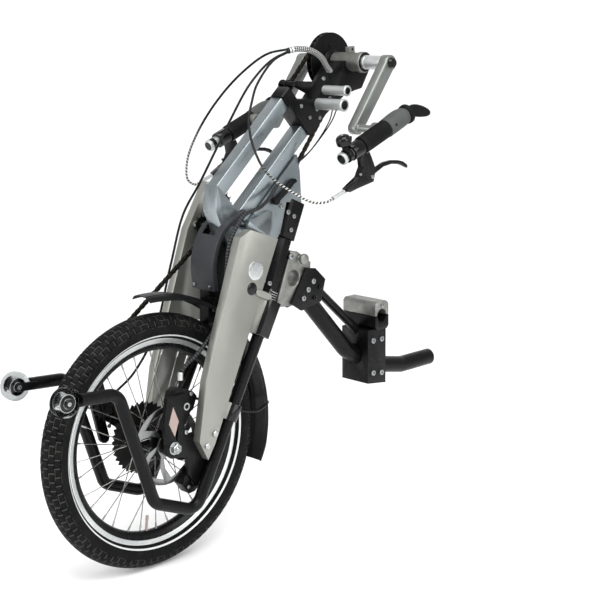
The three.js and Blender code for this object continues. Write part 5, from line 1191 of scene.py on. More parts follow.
def toothed_ring(name, centre, teeth, low, high, bore, phase, finish_name):
    """The pitch circle less a valley, plus a power of a raised cosine that goes round once a tooth."""
    steps = teeth * 12
    a = np.arange(steps) / steps * 2 * np.pi
    w = (1 - np.cos((a - np.radians(phase)) * teeth)) / 2
    r = pitch_radius(teeth) - TOOTH_VALLEY + (TOOTH_TIP + TOOTH_VALLEY) * w ** 1.6
    ring = np.stack([np.cos(a), np.sin(a)], 1)
    grid = np.empty((4, steps, 3))
    for k, (x, radius) in enumerate([(low, bore), (low, r), (high, r), (high, bore)]):
        grid[k, :, 0] = x
        grid[k, :, 1:] = centre + (radius * np.ones(steps))[:, None] * ring
    return surface(name, grid, finish_name, closed_rows=True)


# %% Chainring with its guards
def chainring():
    """Toothed ring, two round guards, the spacers between them, the hub and five bolts."""
    nearest = PINS[np.argmax((PINS - CRANK) @ heading(MAST_ANGLE))]
    phase = np.degrees(np.arctan2(*(nearest - CRANK)[::-1]))
    pieces = [
        toothed_ring("ring_teeth", CRANK, 28, CHAIN_X - 1, CHAIN_X + 1, 40, phase, "sprocket_steel")
    ]
    for x in (-43.0, -55.5):
        disc = [(8.4, x), (61.2, x), (62, x + 1.25), (61.2, x + 2.5), (8.4, x + 2.5)]
        pieces.append(turned(f"guard_{x}", softened(disc, 0.5), CRANK, "black_coat", 96))
    for x in (-47, -53):
        spacer = [(8.4, x), (42, x), (42, x + 4), (8.4, x + 4)]
        pieces.append(turned(f"spacer_{x}", spacer, CRANK, "black_coat", 64))
    ring_hub = [(8.4, -40.5), (26, -40.5), (26, -37), (17, -34), (17, -26.4), (8.4, -26.4)]
    pieces.append(turned("ring_hub", softened(ring_hub, 0.8), CRANK, "black_coat", 48))
    for i in range(5):
        place = across(along(CRANK, 72 * i + 20, 34), -40.5)
        pieces.append(stud(f"ring_bolt_{i}", place, (1, 0, 0), 5, 2.4, "black_gloss"))
    return joined("chainring_guarded", pieces)


placed(chainring(), "chainring")

# %% [markdown]
# ## Round parts of the mast head
# Axle, shell and pegs come off a lathe in the real shop as well, so each one is a profile spun about its
# axis. Small steps in the profile are the grooves and collars that show where one part meets the next.

# %% Crank axle
SPINDLE = [
    (0.2, -140), (7, -140), (8, -139), (8, -112.0), (15, -111.8), (15, -104), (14.2, -103.5),
    (14.2, -102), (15, -101.5), (15, -56), (8, -55.8), (8, 60.3), (15, 60.5), (15, 66),
    (14.2, 66.5), (14.2, 68), (15, 68.5), (15, 111.6), (8, 111.8), (8, 139), (7, 140), (0.2, 140),
]
ARM_CAP = [
    (-0.5, 11), (1.6, 11), (2.2, 10.4), (6.2, 9.6), (6.9, 8.8), (6.9, 4.4), (6.2, 3.8), (6.2, 0.0),
]
spindle = [turned("crank_axle_turned", softened(SPINDLE, 0.5), CRANK, "satin_alloy", 64)]
for side, word in SIDES:
    place = across(CRANK, side * 134.2)
    spindle.append(lathed(f"arm_cap_{word}", ARM_CAP, place, (side, 0, 0), "black_gloss", 40))
placed(joined("crank_axle_turned", spindle), "crank_axle")

# %% Shell
BARREL = [
    (8.8, -25.9), (19, -25.9), (20, -25), (20, 46), (22, 47), (22, 59), (21, 60), (8.8, 60),
]
LOCK_RING = [(15.2, 59), (20.6, 59), (20.6, 60.3), (15.2, 60.3)]
TAB = [along(CRANK, angle, radius) for angle, radius in ((112, 34), (84, 34), (66, 14), (130, 14))]


def shell():
    """The shell with a clamp ring at its left end, a lock ring and the tab of the cable stop."""
    barrel = turned("shell_barrel", softened(BARREL, 0.7), CRANK, "cast_alloy", 64)
    lock = turned("shell_lock", softened(LOCK_RING, 0.3), CRANK, "black_gloss", 48)
    tab = applied(slab("shell_tab", TAB, 13, 26, "cast_alloy", 1.2))
    place = across(along(CRANK, 97, 27), 26)
    hole = stud("tab_hole", place, (1, 0, 0), 3, 0.8, "black_gloss", "dome")
    return joined("bottom_bracket_turned", [barrel, lock, tab, hole])


placed(shell(), "bottom_bracket_shell")

# %% Pegs
PEG_FOOT = 22.3


def peg(name, centre, radius, reach):
    """A polished bar with a collar, and a black plug pressed into its open end."""
    end = PEG_FOOT + reach
    bar = softened([
        (0.2, PEG_FOOT), (radius, PEG_FOOT), (radius, end - 7), (radius + 1.5, end - 6.8),
        (radius + 1.5, end - 1), (radius, end), (radius - 2.4, end), (radius - 2.6, end - 2),
        (0.2, end - 2),
    ], 0.4)
    plug = softened([
        (0.2, end - 2.2), (radius - 2.8, end - 2.2), (radius - 2.8, end - 0.6),
        (radius * 0.5, end - 0.2), (0.2, end - 0.2),
    ], 0.3)
    bar = turned(f"{name}_bar", bar, centre, "satin_alloy", 48)
    plug = turned(f"{name}_plug", plug, centre, "black_gloss", 40)
    placed(joined(f"{name}_turned", [bar, plug]), name)


peg("cross_peg_lower", [453.9, 898.1], 12, 77.3)
peg("cross_peg_upper", [474.0, 926.1], 10, 67.3)

# %% [markdown]
# ## Grips
# Each grip turns on the end of its crank. The bar is a polished tube. The sleeve is moulded from soft rubber
# with a grey palm rest, and a broad flap behind keeps a weak hand from slipping off. Rings, ribs and neck are
# round, so they are spun; the palm rest is a rounded oval that changes on its way, so it is a loft; and the
# flap is one outline that swells like a cushion.

# %% Shapes of the grips
OVAL_POWER = 2.3
FLAP = [
    (79, -8), (79, 9), (90, 13.5), (105, 9.5), (121, 0), (135, -11), (146, -23), (147, -31),
    (139, -34), (124, -29), (109, -22.5), (94, -14),
]
FLAP_MIDDLE, FLAP_HALF_WALL = np.array([112, -9.5]), 3.5


def axes_of(angle):
    """The direction at an angle in the side plane, and the one square to it on its left."""
    h = heading(angle)
    return np.array([0, h[0], h[1]]), np.array([0, -h[1], h[0]])


def grip_frame(side):
    """Origin and two directions of a grip: back along the bar, and up from it."""
    return across(CRANK_END, side * GRIP_X), *axes_of(GRIP_ANGLE)


# %% Loft
def lofted(name, origin, forward, up, rows, finish_name, steps=40):
    """Rings of (reach, half width, half height, rise): each a circle swelled towards its box by a power."""
    rows = np.asarray(rows, float)
    a = np.arange(steps) / steps * 2 * np.pi
    c, s = np.cos(a), np.sin(a)
    soft = 1 / (np.abs(c) ** OVAL_POWER + np.abs(s) ** OVAL_POWER) ** (1 / OVAL_POWER)
    grid = (
        origin + rows[:, 0, None, None] * forward
        + (rows[:, 1, None] * (c * soft))[..., None] * np.array([1.0, 0, 0])
        + (rows[:, 3, None] + rows[:, 2, None] * (s * soft))[..., None] * up
    )
    return surface(name, grid, finish_name, caps=True)


def smoothed_rows(rows, count):
    """Rows between the given ones: straight between two of them, then averaged over five neighbours."""
    rows = np.asarray(rows, float)
    t = np.linspace(0, 1, count)
    t = (1 - np.cos(t * np.pi)) / 2 * 0.15 + t * 0.85
    at = rows[0, 0] + (rows[-1, 0] - rows[0, 0]) * t
    kernel = np.array([1, 2, 3, 2, 1]) / 9
    out = [at]
    for column in rows.T[1:]:
        padded = np.pad(np.interp(at, rows[:, 0], column), 2, mode="edge")
        out.append(np.convolve(padded, kernel, "valid"))
    return np.stack(out, 1)


# %% Cushion
def smooth_outline(points, times=3):
    """A closed outline with its corners cut again and again: each side keeps its middle half."""
    p = np.asarray(points, float)
    for _ in range(times):
        after = np.roll(p, -1, axis=0)
        p = np.stack([0.75 * p + 0.25 * after, 0.25 * p + 0.75 * after], 1).reshape(-1, 2)
    return p


def flap_of(name, origin, forward, up):
    """The outline drawn in towards its middle by the root of a cosine, as the wall follows the sine."""
    outline = smooth_outline(FLAP)
    t = np.linspace(-np.pi / 2, np.pi / 2, 13)
    share = np.maximum(np.cos(t), 0.0) ** 0.5
    share[[0, -1]] = 0.02
    flat = FLAP_MIDDLE + share[:, None, None] * (outline - FLAP_MIDDLE)[None]
    grid = (
        origin + flat[..., :1] * forward + flat[..., 1:] * up
        + (FLAP_HALF_WALL * np.sin(t))[:, None, None] * np.array([1.0, 0, 0])
    )
    return surface(name, grid, "grip_rubber", caps=True)


# %% Grips
GRIP_TUBE = [
    (-133, 0.2), (-133, 12), (-131.5, 13), (-126, 13), (-125, 11), (69, 11), (69, 0.2),
]
GRIP_PLUG = [(-133.4, 0.0), (-133.4, 9.4), (-132.6, 9.8), (-132.6, 0.0)]
GRIP_HUB = [(-27, 0.2), (-27, 13.5), (-26, 14.5), (11, 14.5), (12.5, 13), (13, 0.2)]
GRIP_BAND = [(-125, 11), (-125, 12.2), (-115.5, 12.2), (-115.5, 11)]
NECK = [(69, 0.2), (69, 15), (72, 20.6), (79.5, 20.8), (82.5, 16), (84, 9), (84, 0.2)]
PALM = [
    (6.5, 18.8, 18.9, 0), (18, 19.4, 19.2, 0.4), (36, 20.0, 19.6, 1.2), (52, 19.8, 19.4, 1.4),
    (64, 18.4, 18.0, 0.6), (70.5, 15.4, 15.6, 0),
]
RIBS, RIB_STEP = 11, 5.6
SLEEVE = [(-72, 11.4), (-72, 17.4), (-70.5, 18.6), (-66, 18.8)]
for start in -62 + np.arange(RIBS) * RIB_STEP:
    SLEEVE += [(start + away, radius) for away, radius in ((0, 18.8), (0.9, 17.9), (2.2, 17.9), (3.1, 18.8))]
SLEEVE += [(4, 19), (7, 19), (8, 18.2), (8, 11.4)]


# %% Both grips
def grip(side, word):
    """Bar, plug, hub and band; then front sleeve with ribs, palm rest, neck, flap and a hole's dark cap."""
    origin, forward, up = grip_frame(side)
    out, line = (side, 0, 0), (origin, forward)
    bar = lathed(f"tube_{word}", softened(GRIP_TUBE, 0.5), *line, "satin_alloy", 48)
    plug = lathed(f"plug_{word}", GRIP_PLUG, *line, "black_gloss", 40)
    hub = lathed(f"hub_{word}", softened(GRIP_HUB, 0.6), origin, out, "cast_alloy", 48)
    band = lathed(f"band_{word}", softened(GRIP_BAND, 0.4), *line, "black_gloss", 40)
    placed(joined(f"grip_bar_turned_{word}", [bar, plug, hub, band]), f"grip_bar_{word}")
    front = lathed(f"front_{word}", SLEEVE, *line, "grip_rubber", 64)
    rest = lofted(f"rest_{word}", *line, up, smoothed_rows(PALM, 26), "grip_grey", 56)
    neck = lathed(f"neck_{word}", softened(NECK, 1.2), *line, "grip_rubber", 56)
    flap = flap_of(f"flap_{word}", *line, up)
    place = origin + 21 * forward + up * 3 + [side * 19.4, 0, 0]
    hole = stud(f"hole_{word}", place, out, 3.2, 0.8, "black_gloss", "dome")
    pieces = [front, rest, neck, flap, hole]
    placed(joined(f"grip_sleeve_formed_{word}", pieces), f"grip_sleeve_{word}")


for side, word in SIDES:
    grip(side, word)

# %% [markdown]
# ## Bell
# A bicycle bell is a spun metal dome on a post, with a strap round the bar and a striker that the thumb
# flicks. A ball could be cut in half and pulled into shape, but the real dome is spun, and a soft profile on
# the lathe gives its flat top and tight shoulder at once.

# %% Bell
STRAP = [(-119, 11.3), (-119, 14.6), (-109, 14.6), (-109, 11.3)]
DOME = [
    (21, 0.2), (21, 4.5), (22, 10.5), (24, 15), (35, 15.2), (40, 13.2), (43.4, 8), (44.4, 0.2),
]


def bell():
    """Strap about the bar; then post, dome and nut on a line up from it; then the bent striker."""
    origin, forward, up = grip_frame(1)
    top = origin - 114 * forward
    strap = lathed(
        "bell_strap", softened(STRAP, 0.6), origin, forward, "black_gloss", 48, closed=True
    )
    post = lathed("bell_post", softened([(11, 7), (19, 7), (20, 0.2)], 0.5), top, up, "black_coat", 28)
    cup = lathed("bell_cup", softened(DOME, 3), top, up, "black_gloss", 56)
    nut = stud("bell_nut", top + up * 44, up, 3, 1.6, "bolt_steel", "dome")
    lever = [top + up * rise + forward * back for rise, back in ((21, 12), (23, 19), (31, 22))]
    striker = tube("bell_striker", lever, 2.6, "black_plastic", 16)
    return joined("bell_formed", [strap, post, cup, nut, striker])


placed(bell(), "bell")

# %% Bolts and ferrules of the lever brackets
for side, word in SIDES:
    x = side * (GRIP_X + 8)
    studs(
        f"lever_bolts_{word}", f"lever_bracket_{word}",
        heads(x, [(420, 762)], 4.4, 2.4), heads(x, [(385, 770)], 3.0, 1.6),
        heads(x, [(372, 756)], 2.6, 1.2, "black_gloss", "dome"),
    )
    line = [[side * GRIP_X, 345, 738.6], [side * GRIP_X, 312.6, 727.9]]
    ferrule = tube(f"ferrule_{word}", line, 4.3, "satin_alloy", 28)
    placed(ferrule, f"lever_bracket_{word}", stands_for=False)

# %% [markdown]
# ## Parking stands
# The stand is one bent tube with a welded tongue that holds its roller. The roller is clear plastic on a
# black core with a bearing in each end, like a small skate wheel. A spring closes the sleeve in which the
# stand turns.

# %% Measures of the stands
LEG_TOP, LEG_CORNER = (254.15, 514.12), -206.7
LEG_REST = [(-62, 164), (-139, 399), (-225.41, 405.28)]
LEG_BEND, LEG_RADIUS = 30, 12.3
ROLLER = np.array([-257.03, 407.5])
TONGUE = [(-222, 412), (-222, 398), (-250, 399), (-262, 400), (-265, 407), (-262, 414), (-254, 416)]
WEB = [(-216, 411), (-216, 400), (-228, 401), (-228, 411)]
LEG_CAP = [(-1, 10), (1.2, 10), (2, 8), (2, 0.2)]
ROLLER_PIN = np.vstack([
    [(64, 0.2)], softened([(64, 5), (91.4, 5), (91.4, 4.8), (91.4, 0.2)], 0.3)
])
PIN_CAP = [(91.2, 0.2), (91.2, 9), (94.6, 9), (96, 7.6), (96, 5.4), (94.6, 4.8), (94.6, 0.2)]


# %% Stand legs
def stand_leg(side, word):
    """The bent tube and its cap, the tongue and its web, and the roller's pin, cap and bolt."""
    out, axle = (side, 0, 0), across(ROLLER)
    corner = along(STAND_PIVOT, STAND_ANGLE, LEG_CORNER)
    line = bent([across(p, side * STAND_X) for p in [LEG_TOP, corner, *LEG_REST]], LEG_BEND)
    top = across(LEG_TOP, side * STAND_X)
    lean = (0, *heading(STAND_ANGLE))
    tongue_x = sorted((side * 64.2, side * 68.7))
    web_x = sorted((side * 64.6, side * 84))
    return joined(f"stand_leg_bent_{word}", [
        tube(f"leg_{word}", line, LEG_RADIUS, "black_coat", 32),
        lathed(f"leg_top_{word}", softened(LEG_CAP, 0.5), top, lean, "black_gloss", 32),
        applied(slab(f"tongue_{word}", TONGUE, *tongue_x, "black_coat", 0.8)),
        applied(slab(f"web_{word}", WEB, *web_x, "black_coat", 1.0)),
        lathed(f"roller_pin_{word}", ROLLER_PIN, axle, out, "bolt_steel", 32),
        lathed(f"pin_cap_{word}", softened(PIN_CAP, 0.4), axle, out, "black_gloss", 40),
        stud(f"pin_bolt_{word}", across(ROLLER, side * 94.4), out, 4.2, 1.6),
    ])


# %% Rollers of the stands
ROLLER_TREAD = [
    (71.5, 17.5), (71, 20), (69.8, 25), (71.5, 27.2), (75, 28), (85, 28), (88.5, 27.2), (90.2, 25),
    (89, 20), (88.5, 17.5), (71.5, 17.5),
]
ROLLER_CORE = [
    (69, 5.4), (69, 9), (71, 9.4), (71.6, 17.5), (88.4, 17.5), (89, 9.4), (91, 9), (91, 5.4),
]
BEARINGS, BEARING_RADII = ((68.9, 70.0), (90.0, 91.0)), (8.4, 9.8)
RIM_RINGS, RIM_RADII = ((70.6, 71.8), (88.2, 89.4)), (16.2, 17.4)


def stand_roller(side, word):
    """Clear tread, black core, a bearing at each end and two bright rings, all spun about the pin."""
    out, axle = (side, 0, 0), across(ROLLER)
    tread, core = softened(ROLLER_TREAD, 0.8)[:-1], softened(ROLLER_CORE, 0.5)
    pieces = [
        lathed(f"tread_{word}", tread, axle, out, "clear_polymer", 72, closed=True),
        lathed(f"core_{word}", core, axle, out, "black_gloss", 56, closed=True),
    ]
    for spans, (inner, outer), steps in ((BEARINGS, BEARING_RADII, 40), (RIM_RINGS, RIM_RADII, 48)):
        for low, high in spans:
            ring = softened([(low, inner), (low, outer), (high, outer), (high, inner)], 0.3)
            name = f"ring_{word}_{low}"
            pieces.append(lathed(name, ring, axle, out, "bolt_steel", steps, closed=True))
    return joined(f"stand_roller_turned_{word}", pieces)


for side, word in SIDES:
    placed(stand_leg(side, word), f"stand_leg_{word}")
    placed(stand_roller(side, word), f"stand_roller_{word}")

# %% Springs
SPRING_FOOT, SPRING_HEIGHT, SPRING_TURNS, SPRING_RADIUS, SPRING_WIRE = 241.4, 20, 4, 8, 1.1


def spring(side, word):
    """A helix about the stand's axis: the wire goes round by a sine and a cosine as it climbs."""
    forward, left = axes_of(STAND_ANGLE)
    t = np.linspace(0, SPRING_TURNS, 200)[:, None]
    a = t * 2 * np.pi
    reach = SPRING_FOOT + SPRING_HEIGHT * t / SPRING_TURNS
    round_axis = SPRING_RADIUS * (np.sin(a) * np.array([side, 0, 0]) + np.cos(a) * left)
    line = across(STAND_PIVOT, side * STAND_X) + reach * forward + round_axis
    return tube(f"spring_wound_{word}", line, SPRING_WIRE, "spring_steel", 12)


for side, word in SIDES:
    placed(spring(side, word), f"stand_spring_{word}")

# %% [markdown]
# ## Docking arm
# The boom is one tube, bent on a machine, that ends in an open turned mouth. A spline would be quicker, but
# real bends have one radius, as the die has, so the line is straight runs and arcs.

# %% Boom
BOOM = [(407.9, 507.1), (559, 341), (650, 290), (747, 271), (812, 270.93)]
BOOM_BEND, BOOM_RADIUS = 70, 19
MOUTH = [
    (-40, 18.9), (36, 19), (37.9, 18), (37.9, 16.8), (36.5, 16), (-22, 16), (-22, 0.2),
]
body = tube("boom_body", bent([across(p) for p in BOOM], BOOM_BEND), BOOM_RADIUS, "black_coat", 40)
end = lathed("boom_mouth", softened(MOUTH, 0.5), across(BOOM[-1]), (0, 1, 0), "black_coat", 40)
placed(joined("boom_bent", [body, end]), "boom_tube")

# %% [markdown]
# ## Cables
# Cables hang by their own stiffness between two ends, so each one is a smooth spline through places that
# were measured on the photo, with a round jacket. The sheath is braided wire, and the lever cables carry a
# spiral stripe near the levers. A simulated cord would sag too much for such stiff ones.

# %% Cords
def cable(
    name, node, route, radius, finish_name, sides=16, stands_for=True, swings=False
):
    """One cord: a spline through its places and a round tube along it.

    A cord that swings hangs between the fork and the cranks. Its solid is hidden and its tube is baked
    where it lies, on no body.
    """
    route = np.array(route, float)
    path = curve_through(route, 40)
    piece = tube(name, curve_through(route, 120), radius, finish_name, sides)
    if swings:
        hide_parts(node)
        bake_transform(piece)
    else:
        placed(piece, node, stands_for)
    return path


# %% Sheath and gear cable
SHEATH = [
    (14, 499, 963.4), (15, 488, 973.6), (20, 466, 994), (22, 430, 1010), (14, 402, 1013),
    (8, 382, 1010),
]
GEAR = [
    (5.15, 385.93, 1008.98), (-2.02, 339.92, 990.03), (-7.95, 285.97, 944.02),
    (-20.05, 244.99, 877.92), (-30.03, 209.96, 814.95), (-45.01, 178.04, 749.98),
    (-62.02, 148.05, 690), (-63, 112.04, 590.04), (-63, 61.92, 449.95), (-63.98, 5.93, 380.03),
    (-70, -31.98, 350.98), (-75.53, -51.48, 328.6),
]
sheath_path = cable("sheath_braided", "cable_sheath", SHEATH, 6, "braid", 32)
cable("gear_cable", "cable_sheath", GEAR, 2.5, "cable_jacket", stands_for=False)

# %% Lever cables
LEFT = [
    (10.53, 380.91, 1008.01), (7.95, 339.92, 991.97), (15.01, 285.97, 945.96), (28, 258.92, 913.08),
    (42, 237.05, 879.06), (75, 216.89, 831.02), (112, 216.89, 782.02), (150, 247.89, 744.02),
    (182, 277.89, 722.02), (200, 298.69, 723.37), (200, 311.8, 727.69),
]
RIGHT = [
    (7.62, 380.74, 1013.03), (-11.98, 339.92, 1003.96), (-60.03, 312.06, 965.08),
    (-119.95, 293.91, 904.98), (-172, 281.89, 835.02), (-196, 273.89, 778.02),
    (-201, 277.89, 736.02), (-200, 298.69, 723.37), (-200, 311.8, 727.69),
]
for word, route in (("left", LEFT), ("right", RIGHT)):
    cable(
        f"lever_cable_round_{word}", f"lever_cable_{word}", route, 2.5, f"striped_{word}",
        swings=True,
    )

# %% Brake hose and its branch
HOSE = [
    (24.71, 330.02, 738.04), (31.99, 301.97, 717.03), (45.99, 261.98, 702.04), (59.99, 199.97, 690),
    (63, 159.98, 640.02), (62.02, 147.03, 559.95), (60.97, 119.97, 479.88), (58.03, 71.98, 430.09),
    (55.02, 44.12, 412.03), (53.4, 34.3, 398.3), (53.4, 33.1, 386.7),
]
BRANCH = [
    (62.02, 147.03, 559.95), (60.97, 138.03, 479.88), (56, 125.9, 399.9), (52.99, 117.91, 319.92),
    (52.99, 114.04, 262.13), (53.41, 106.04, 231.94), (53.4, 99.4, 211.6), (53.4, 89.9, 204.7),
]
cable("brake_hose_upper", "brake_hose", HOSE, 4, "corrugated", 20)
cable(
    "brake_hose_lower", "brake_hose", BRANCH, 4, "cable_jacket", 20, stands_for=False
)

# %% Stop cables under the pegs
STOPS = {
    "front": [
        (80, 448.5, 887.4), (77, 440, 868), (62, 424, 835), (36, 404, 795), (12, 391, 772),
    ],
    "rear": [
        (68, 449.5, 887), (67, 443, 868), (56, 429, 836), (34, 410, 798), (5, 394, 774),
    ],
}
for word, route in STOPS.items():
    cable(
        f"stop_cable_{word}", "cable_sheath", route, 1.4, "cable_jacket", sides=12,
        stands_for=False,
    )

# %% Collars of the sheath
BAND = [(-1.6, 5.6), (-1.6, 6.8), (1.6, 6.8), (1.6, 5.6)]
NOSE = [(-2, 6.2), (1.5, 6.2), (3.0, 4.0), (3.0, 0.2)]
ROOT = [(-2, 6.2), (-2, 7.2), (5, 7.2), (5, 6.2)]


def collars():
    """Two silver bands and a nose at the end of the sheath, and a ring where it leaves the head."""
    start, end = sheath_path[0], sheath_path[-1]
    out, back = unit(end - sheath_path[-4]), unit(sheath_path[3] - start)
    pieces = []
    for at in (-3.0, -9.0):
        band, place = softened(BAND, 0.3), end + out * at
        pieces.append(lathed(f"band_{at}", band, place, out, "satin_alloy", 32, closed=True))
    pieces.append(lathed("nose", softened(NOSE, 0.4), end, out, "black_gloss", 32))
    root = softened(ROOT, 0.4)
    pieces.append(lathed("root", root, start, back, "bolt_steel", 32, closed=True))
    return joined("sheath_collars", pieces)


placed(collars(), "cable_sheath", stands_for=False)

# %% [markdown]
# ## Fasteners and small fittings
# The bolts tell the eye how the thing is put together, and each one stands on the face that it clamps. Most
# are zinc-plated socket heads; hexagons hold what is taken off often, and black plastic domes close holes.
# Copies of one head would all have one size, so each is spun from its own row of numbers.

# %% Bolts of the fork
for side, word in SIDES:
    groups = [
        heads(side * 90, [(66, 251), (87, 272)], 6.5, 4.5, kind="hex"),
        heads(side * 90, [(194, 549)], 13, 2.6, "black_gloss", "dome"),
    ]
    if side > 0:
        groups.append(heads(90, [(205.5, 585)], 20, 0.9, "polished_alloy", "dome"))
    studs(f"blade_bolts_{word}", f"fork_blade_{word}", *groups)
studs(
    "idler_bolts", "fork_blade_right",
    heads(-41.5, [UPPER_IDLER, LOWER_IDLER], 6, 3.0, kind="hex", out=1),
)
PLATE_BOLTS = [(403, 896), (428, 871), (488, 908)]
studs(
    "head_bolts", "head_bracket",
    heads(22, PLATE_BOLTS + [(448.6, 887), (457.4, 869), (470, 950)], 4.2, 2.4),
    heads(-22, PLATE_BOLTS, 4.2, 2.4),
)
GUSSET = [(345, 692), (363, 678)]
studs("gusset_bolts", "fork_crown", heads(20, GUSSET, 5.5, 3.2), heads(-20, GUSSET, 5.5, 3.2))
studs("column_bolts", "steering_column", heads(23, [(377, 668), (368, 640)], 5.0, 3.0))

# %% Bolts of the dock
studs(
    "head_tube_bolts", "head_tube",
    heads(23, [(284, 544)], 8.0, 4.0, kind="hex"), heads(23, [(304, 535)], 5.0, 3.4),
)
CASTING = [(328, 486), (370, 583)]
studs("casting_bolts", "dock_casting", heads(19, CASTING, 7.0, 5.0), heads(-19, CASTING, 7.0, 5.0))
for side, word in SIDES:
    x = side * 25.3
    studs(
        f"side_plate_bolts_{word}", f"dock_side_plate_{word}",
        heads(x, [(431, 521), (415, 505), (401, 488)], 6.0, 3.6),
        heads(x, [(452, 505), (436, 484)], 5.0, 3.0, "black_gloss"),
    )
POST = [(606, 285), (634, 281), (606, 360), (634, 360)]
studs("post_bolts", "boom_post", heads(40, POST, 6.5, 4.0), heads(-40, POST, 6.5, 4.0))
CLAMP = [(626, 441)]
studs("clamp_bolts", "frame_clamp_cap", heads(50, CLAMP, 5.0, 4.0), heads(-50, CLAMP, 5.0, 4.0))

# %% Bolts of the upper caliper
studs(
    "upper_caliper_bolts", "brake_caliper_upper",
    heads(61.4, [(33.6, 335.4)], 10.5, 4.0, "black_gloss"),
    heads(61.4, [(52, 356), (16, 352)], 4.4, 2.6),
)
CALIPER_RING = [(4.0, 4.6), (4.0, 7.6), (5.2, 7.6), (5.2, 4.6)]
ring = lathed(
    "caliper_ring", CALIPER_RING, (65.5, 33.6, 335.4), (1, 0, 0), "bolt_steel", 40, closed=True
)
placed(ring, "brake_caliper_upper", stands_for=False)

# %% Ferrules of the hose
FERRULE = softened([(-2, 4.2), (-2, 5.2), (13, 5.2), (14, 4.3)], 0.4)
FERRULES = {
    "upper": ((53.4, 33.2, 388), (0, 0.05, 1)), "lower": ((53.4, 91.0, 206.5), (0, 0.55, 0.84)),
}
for word, (place, lean) in FERRULES.items():
    ferrule = lathed(
        f"hose_ferrule_{word}", FERRULE, place, lean, "satin_alloy", 28, closed=True
    )
    placed(ferrule, "brake_hose", stands_for=False)

# %% Bolts of the lower caliper, derailleur and dropout
studs(
    "lower_caliper_bolts", "brake_caliper_lower",
    heads(61.4, [(56.4, 180.3)], 13, 5.0, "black_gloss"),
    heads(61.4, [(76, 200), (40, 166)], 4.4, 2.6),
)
studs(
    "derailleur_bolts", "derailleur_body",
    heads(-81, [(-46, 302), (-62, 262)], 5, 3), heads(-70, [(-52, 285)], 4, 2.4, out=1),
)
studs("dropout_bolts", "dropout_left", heads(69.7, [(30, 284)], 4.6, 2.6))

# %% Kite-shaped insert and catch
KITE = np.array([(0, 342.1), (-12, 309), (2, 280), (13, 309.9)])
CATCH_FOOT, CATCH_TOP, CATCH_RADIUS = np.array([210, 539.0]), np.array([238, 526.0]), 7


def kite_insert():
    """The pale plate behind the kite-shaped window of the left dropout, a little smaller than it."""
    outline = KITE.mean(0) + (KITE - KITE.mean(0)) * 0.985
    return slab("kite_insert", outline, 66.6, 70.1, "pale_insert", 0.3)


def release_catch():
    """A short round-ended catch beside the black cap of the near blade: a half circle at each end."""
    h = np.degrees(np.arctan2(*(CATCH_TOP - CATCH_FOOT)[::-1]))
    t = np.linspace(-90, 90, 11)
    outline = [along(CATCH_TOP, h + q, CATCH_RADIUS) for q in t]
    outline += [along(CATCH_FOOT, h + 180 + q, CATCH_RADIUS) for q in t]
    return slab("catch_pill", outline, 89.6, 93.5, "silver_coat", 1.4)


placed(kite_insert(), "dropout_left", stands_for=False)
placed(release_catch(), "fork_blade_left", stands_for=False)

# %% [markdown]
# ## Studio
# The photo is a cut-out on white. A pale floor that curves up behind keeps the horizon out of sight and
# takes a soft shadow. Three large soft lights and a bright world leave no hard shadow; a single lamp would
# show the form more strongly, but not as the photo does.

# %% Backdrop
BACKDROP_ANGLE, BACKDROP_HALF, BACKDROP_BEND = 45.46, 6000.0, 1500
finish(
    "studio_white", "#ffffff", "#fcfcfc", (0.8, 0.9), 0.0, drift_mm=900, gloss_mm=300, grain_mm=50,
    lift=0.0,
)


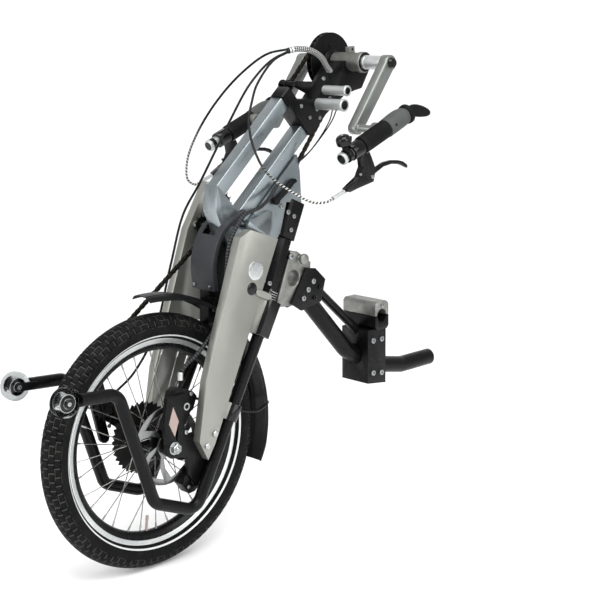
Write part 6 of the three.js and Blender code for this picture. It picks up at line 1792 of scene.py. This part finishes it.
def studio():
    """A floor, a quarter circle well behind the object and a wall, all turned to face the camera."""
    t = np.linspace(0, np.pi / 2, 40)
    y = np.concatenate([[-4000], 3000 + BACKDROP_BEND * np.sin(t), [4500]])
    z = np.concatenate([[0], BACKDROP_BEND - BACKDROP_BEND * np.cos(t), [6000]])
    x = np.array([-BACKDROP_HALF, BACKDROP_HALF])
    a = np.radians(BACKDROP_ANGLE)
    grid = np.empty((len(y), 2, 3))
    grid[..., 0] = x[None, :] * np.cos(a) - y[:, None] * np.sin(a)
    grid[..., 1] = x[None, :] * np.sin(a) + y[:, None] * np.cos(a)
    grid[..., 2] = z[:, None] - 0.5
    floor = mesh_object("studio_floor", grid, grid_faces(len(y), 2, False, False), "studio_white")
    print("backdrop", len(floor.data.polygons), "faces")


studio()

# %% Lights
LIGHT_TARGET = (0.0, 0.25, 0.45)


def area_light(name, place, size, power):
    """A square soft light that looks at the middle of the object. Places and size are in metres."""
    data = bpy.data.lights.new(name, "AREA")
    data.shape = "RECTANGLE"
    data.size, data.size_y = size, size
    data.energy = power
    light = bpy.data.objects.new(name, data)
    light.location = place
    look = Vector(LIGHT_TARGET) - Vector(place)
    light.rotation_euler = look.to_track_quat("-Z", "Y").to_euler()
    bpy.context.scene.collection.objects.link(light)
    print("light", name, power, "W")


area_light("key", (1.2, -0.6, 3.2), 2.4, 112)
area_light("fill", (3.2, 0.6, 1.6), 2.2, 55)
area_light("front", (-0.4, -3.2, 1.6), 2.2, 60)
world = bpy.data.worlds.new("studio_world")
world.use_nodes = True
backlight = world.node_tree.nodes["Background"].inputs
backlight["Color"].default_value = (1, 1, 1, 1)
backlight["Strength"].default_value = 0.62
bpy.context.scene.world = world
bpy.context.scene.view_settings.view_transform = "Standard"

# %% [markdown]
# ## Camera
# Place, turn and lens were worked out from the photo: the wheel's ellipse gives the direction, and the known
# distances between axle, stands and crank give the distance and the lens.

# %% Camera
LENS_MM, SENSOR_MM, CAMERA_PLACE = 81.42, 36, (2.046, -1.597, 1.097)
yaw, pitch, roll = np.radians([45.46, 12.17, 0.55])
camera_data = bpy.data.cameras.new("camera")
camera_data.lens, camera_data.sensor_width = LENS_MM, SENSOR_MM
camera = bpy.data.objects.new("camera", camera_data)
camera.location = CAMERA_PLACE
look = Vector((-np.sin(yaw) * np.cos(pitch), np.cos(yaw) * np.cos(pitch), -np.sin(pitch)))
camera.rotation_euler = look.to_track_quat("-Z", "Y").to_matrix().to_4x4().to_euler()
camera.rotation_euler.rotate_axis("Z", -roll)
bpy.context.scene.collection.objects.link(camera)
bpy.context.scene.camera = camera
print("camera at", CAMERA_PLACE, "with a lens of", LENS_MM, "mm")
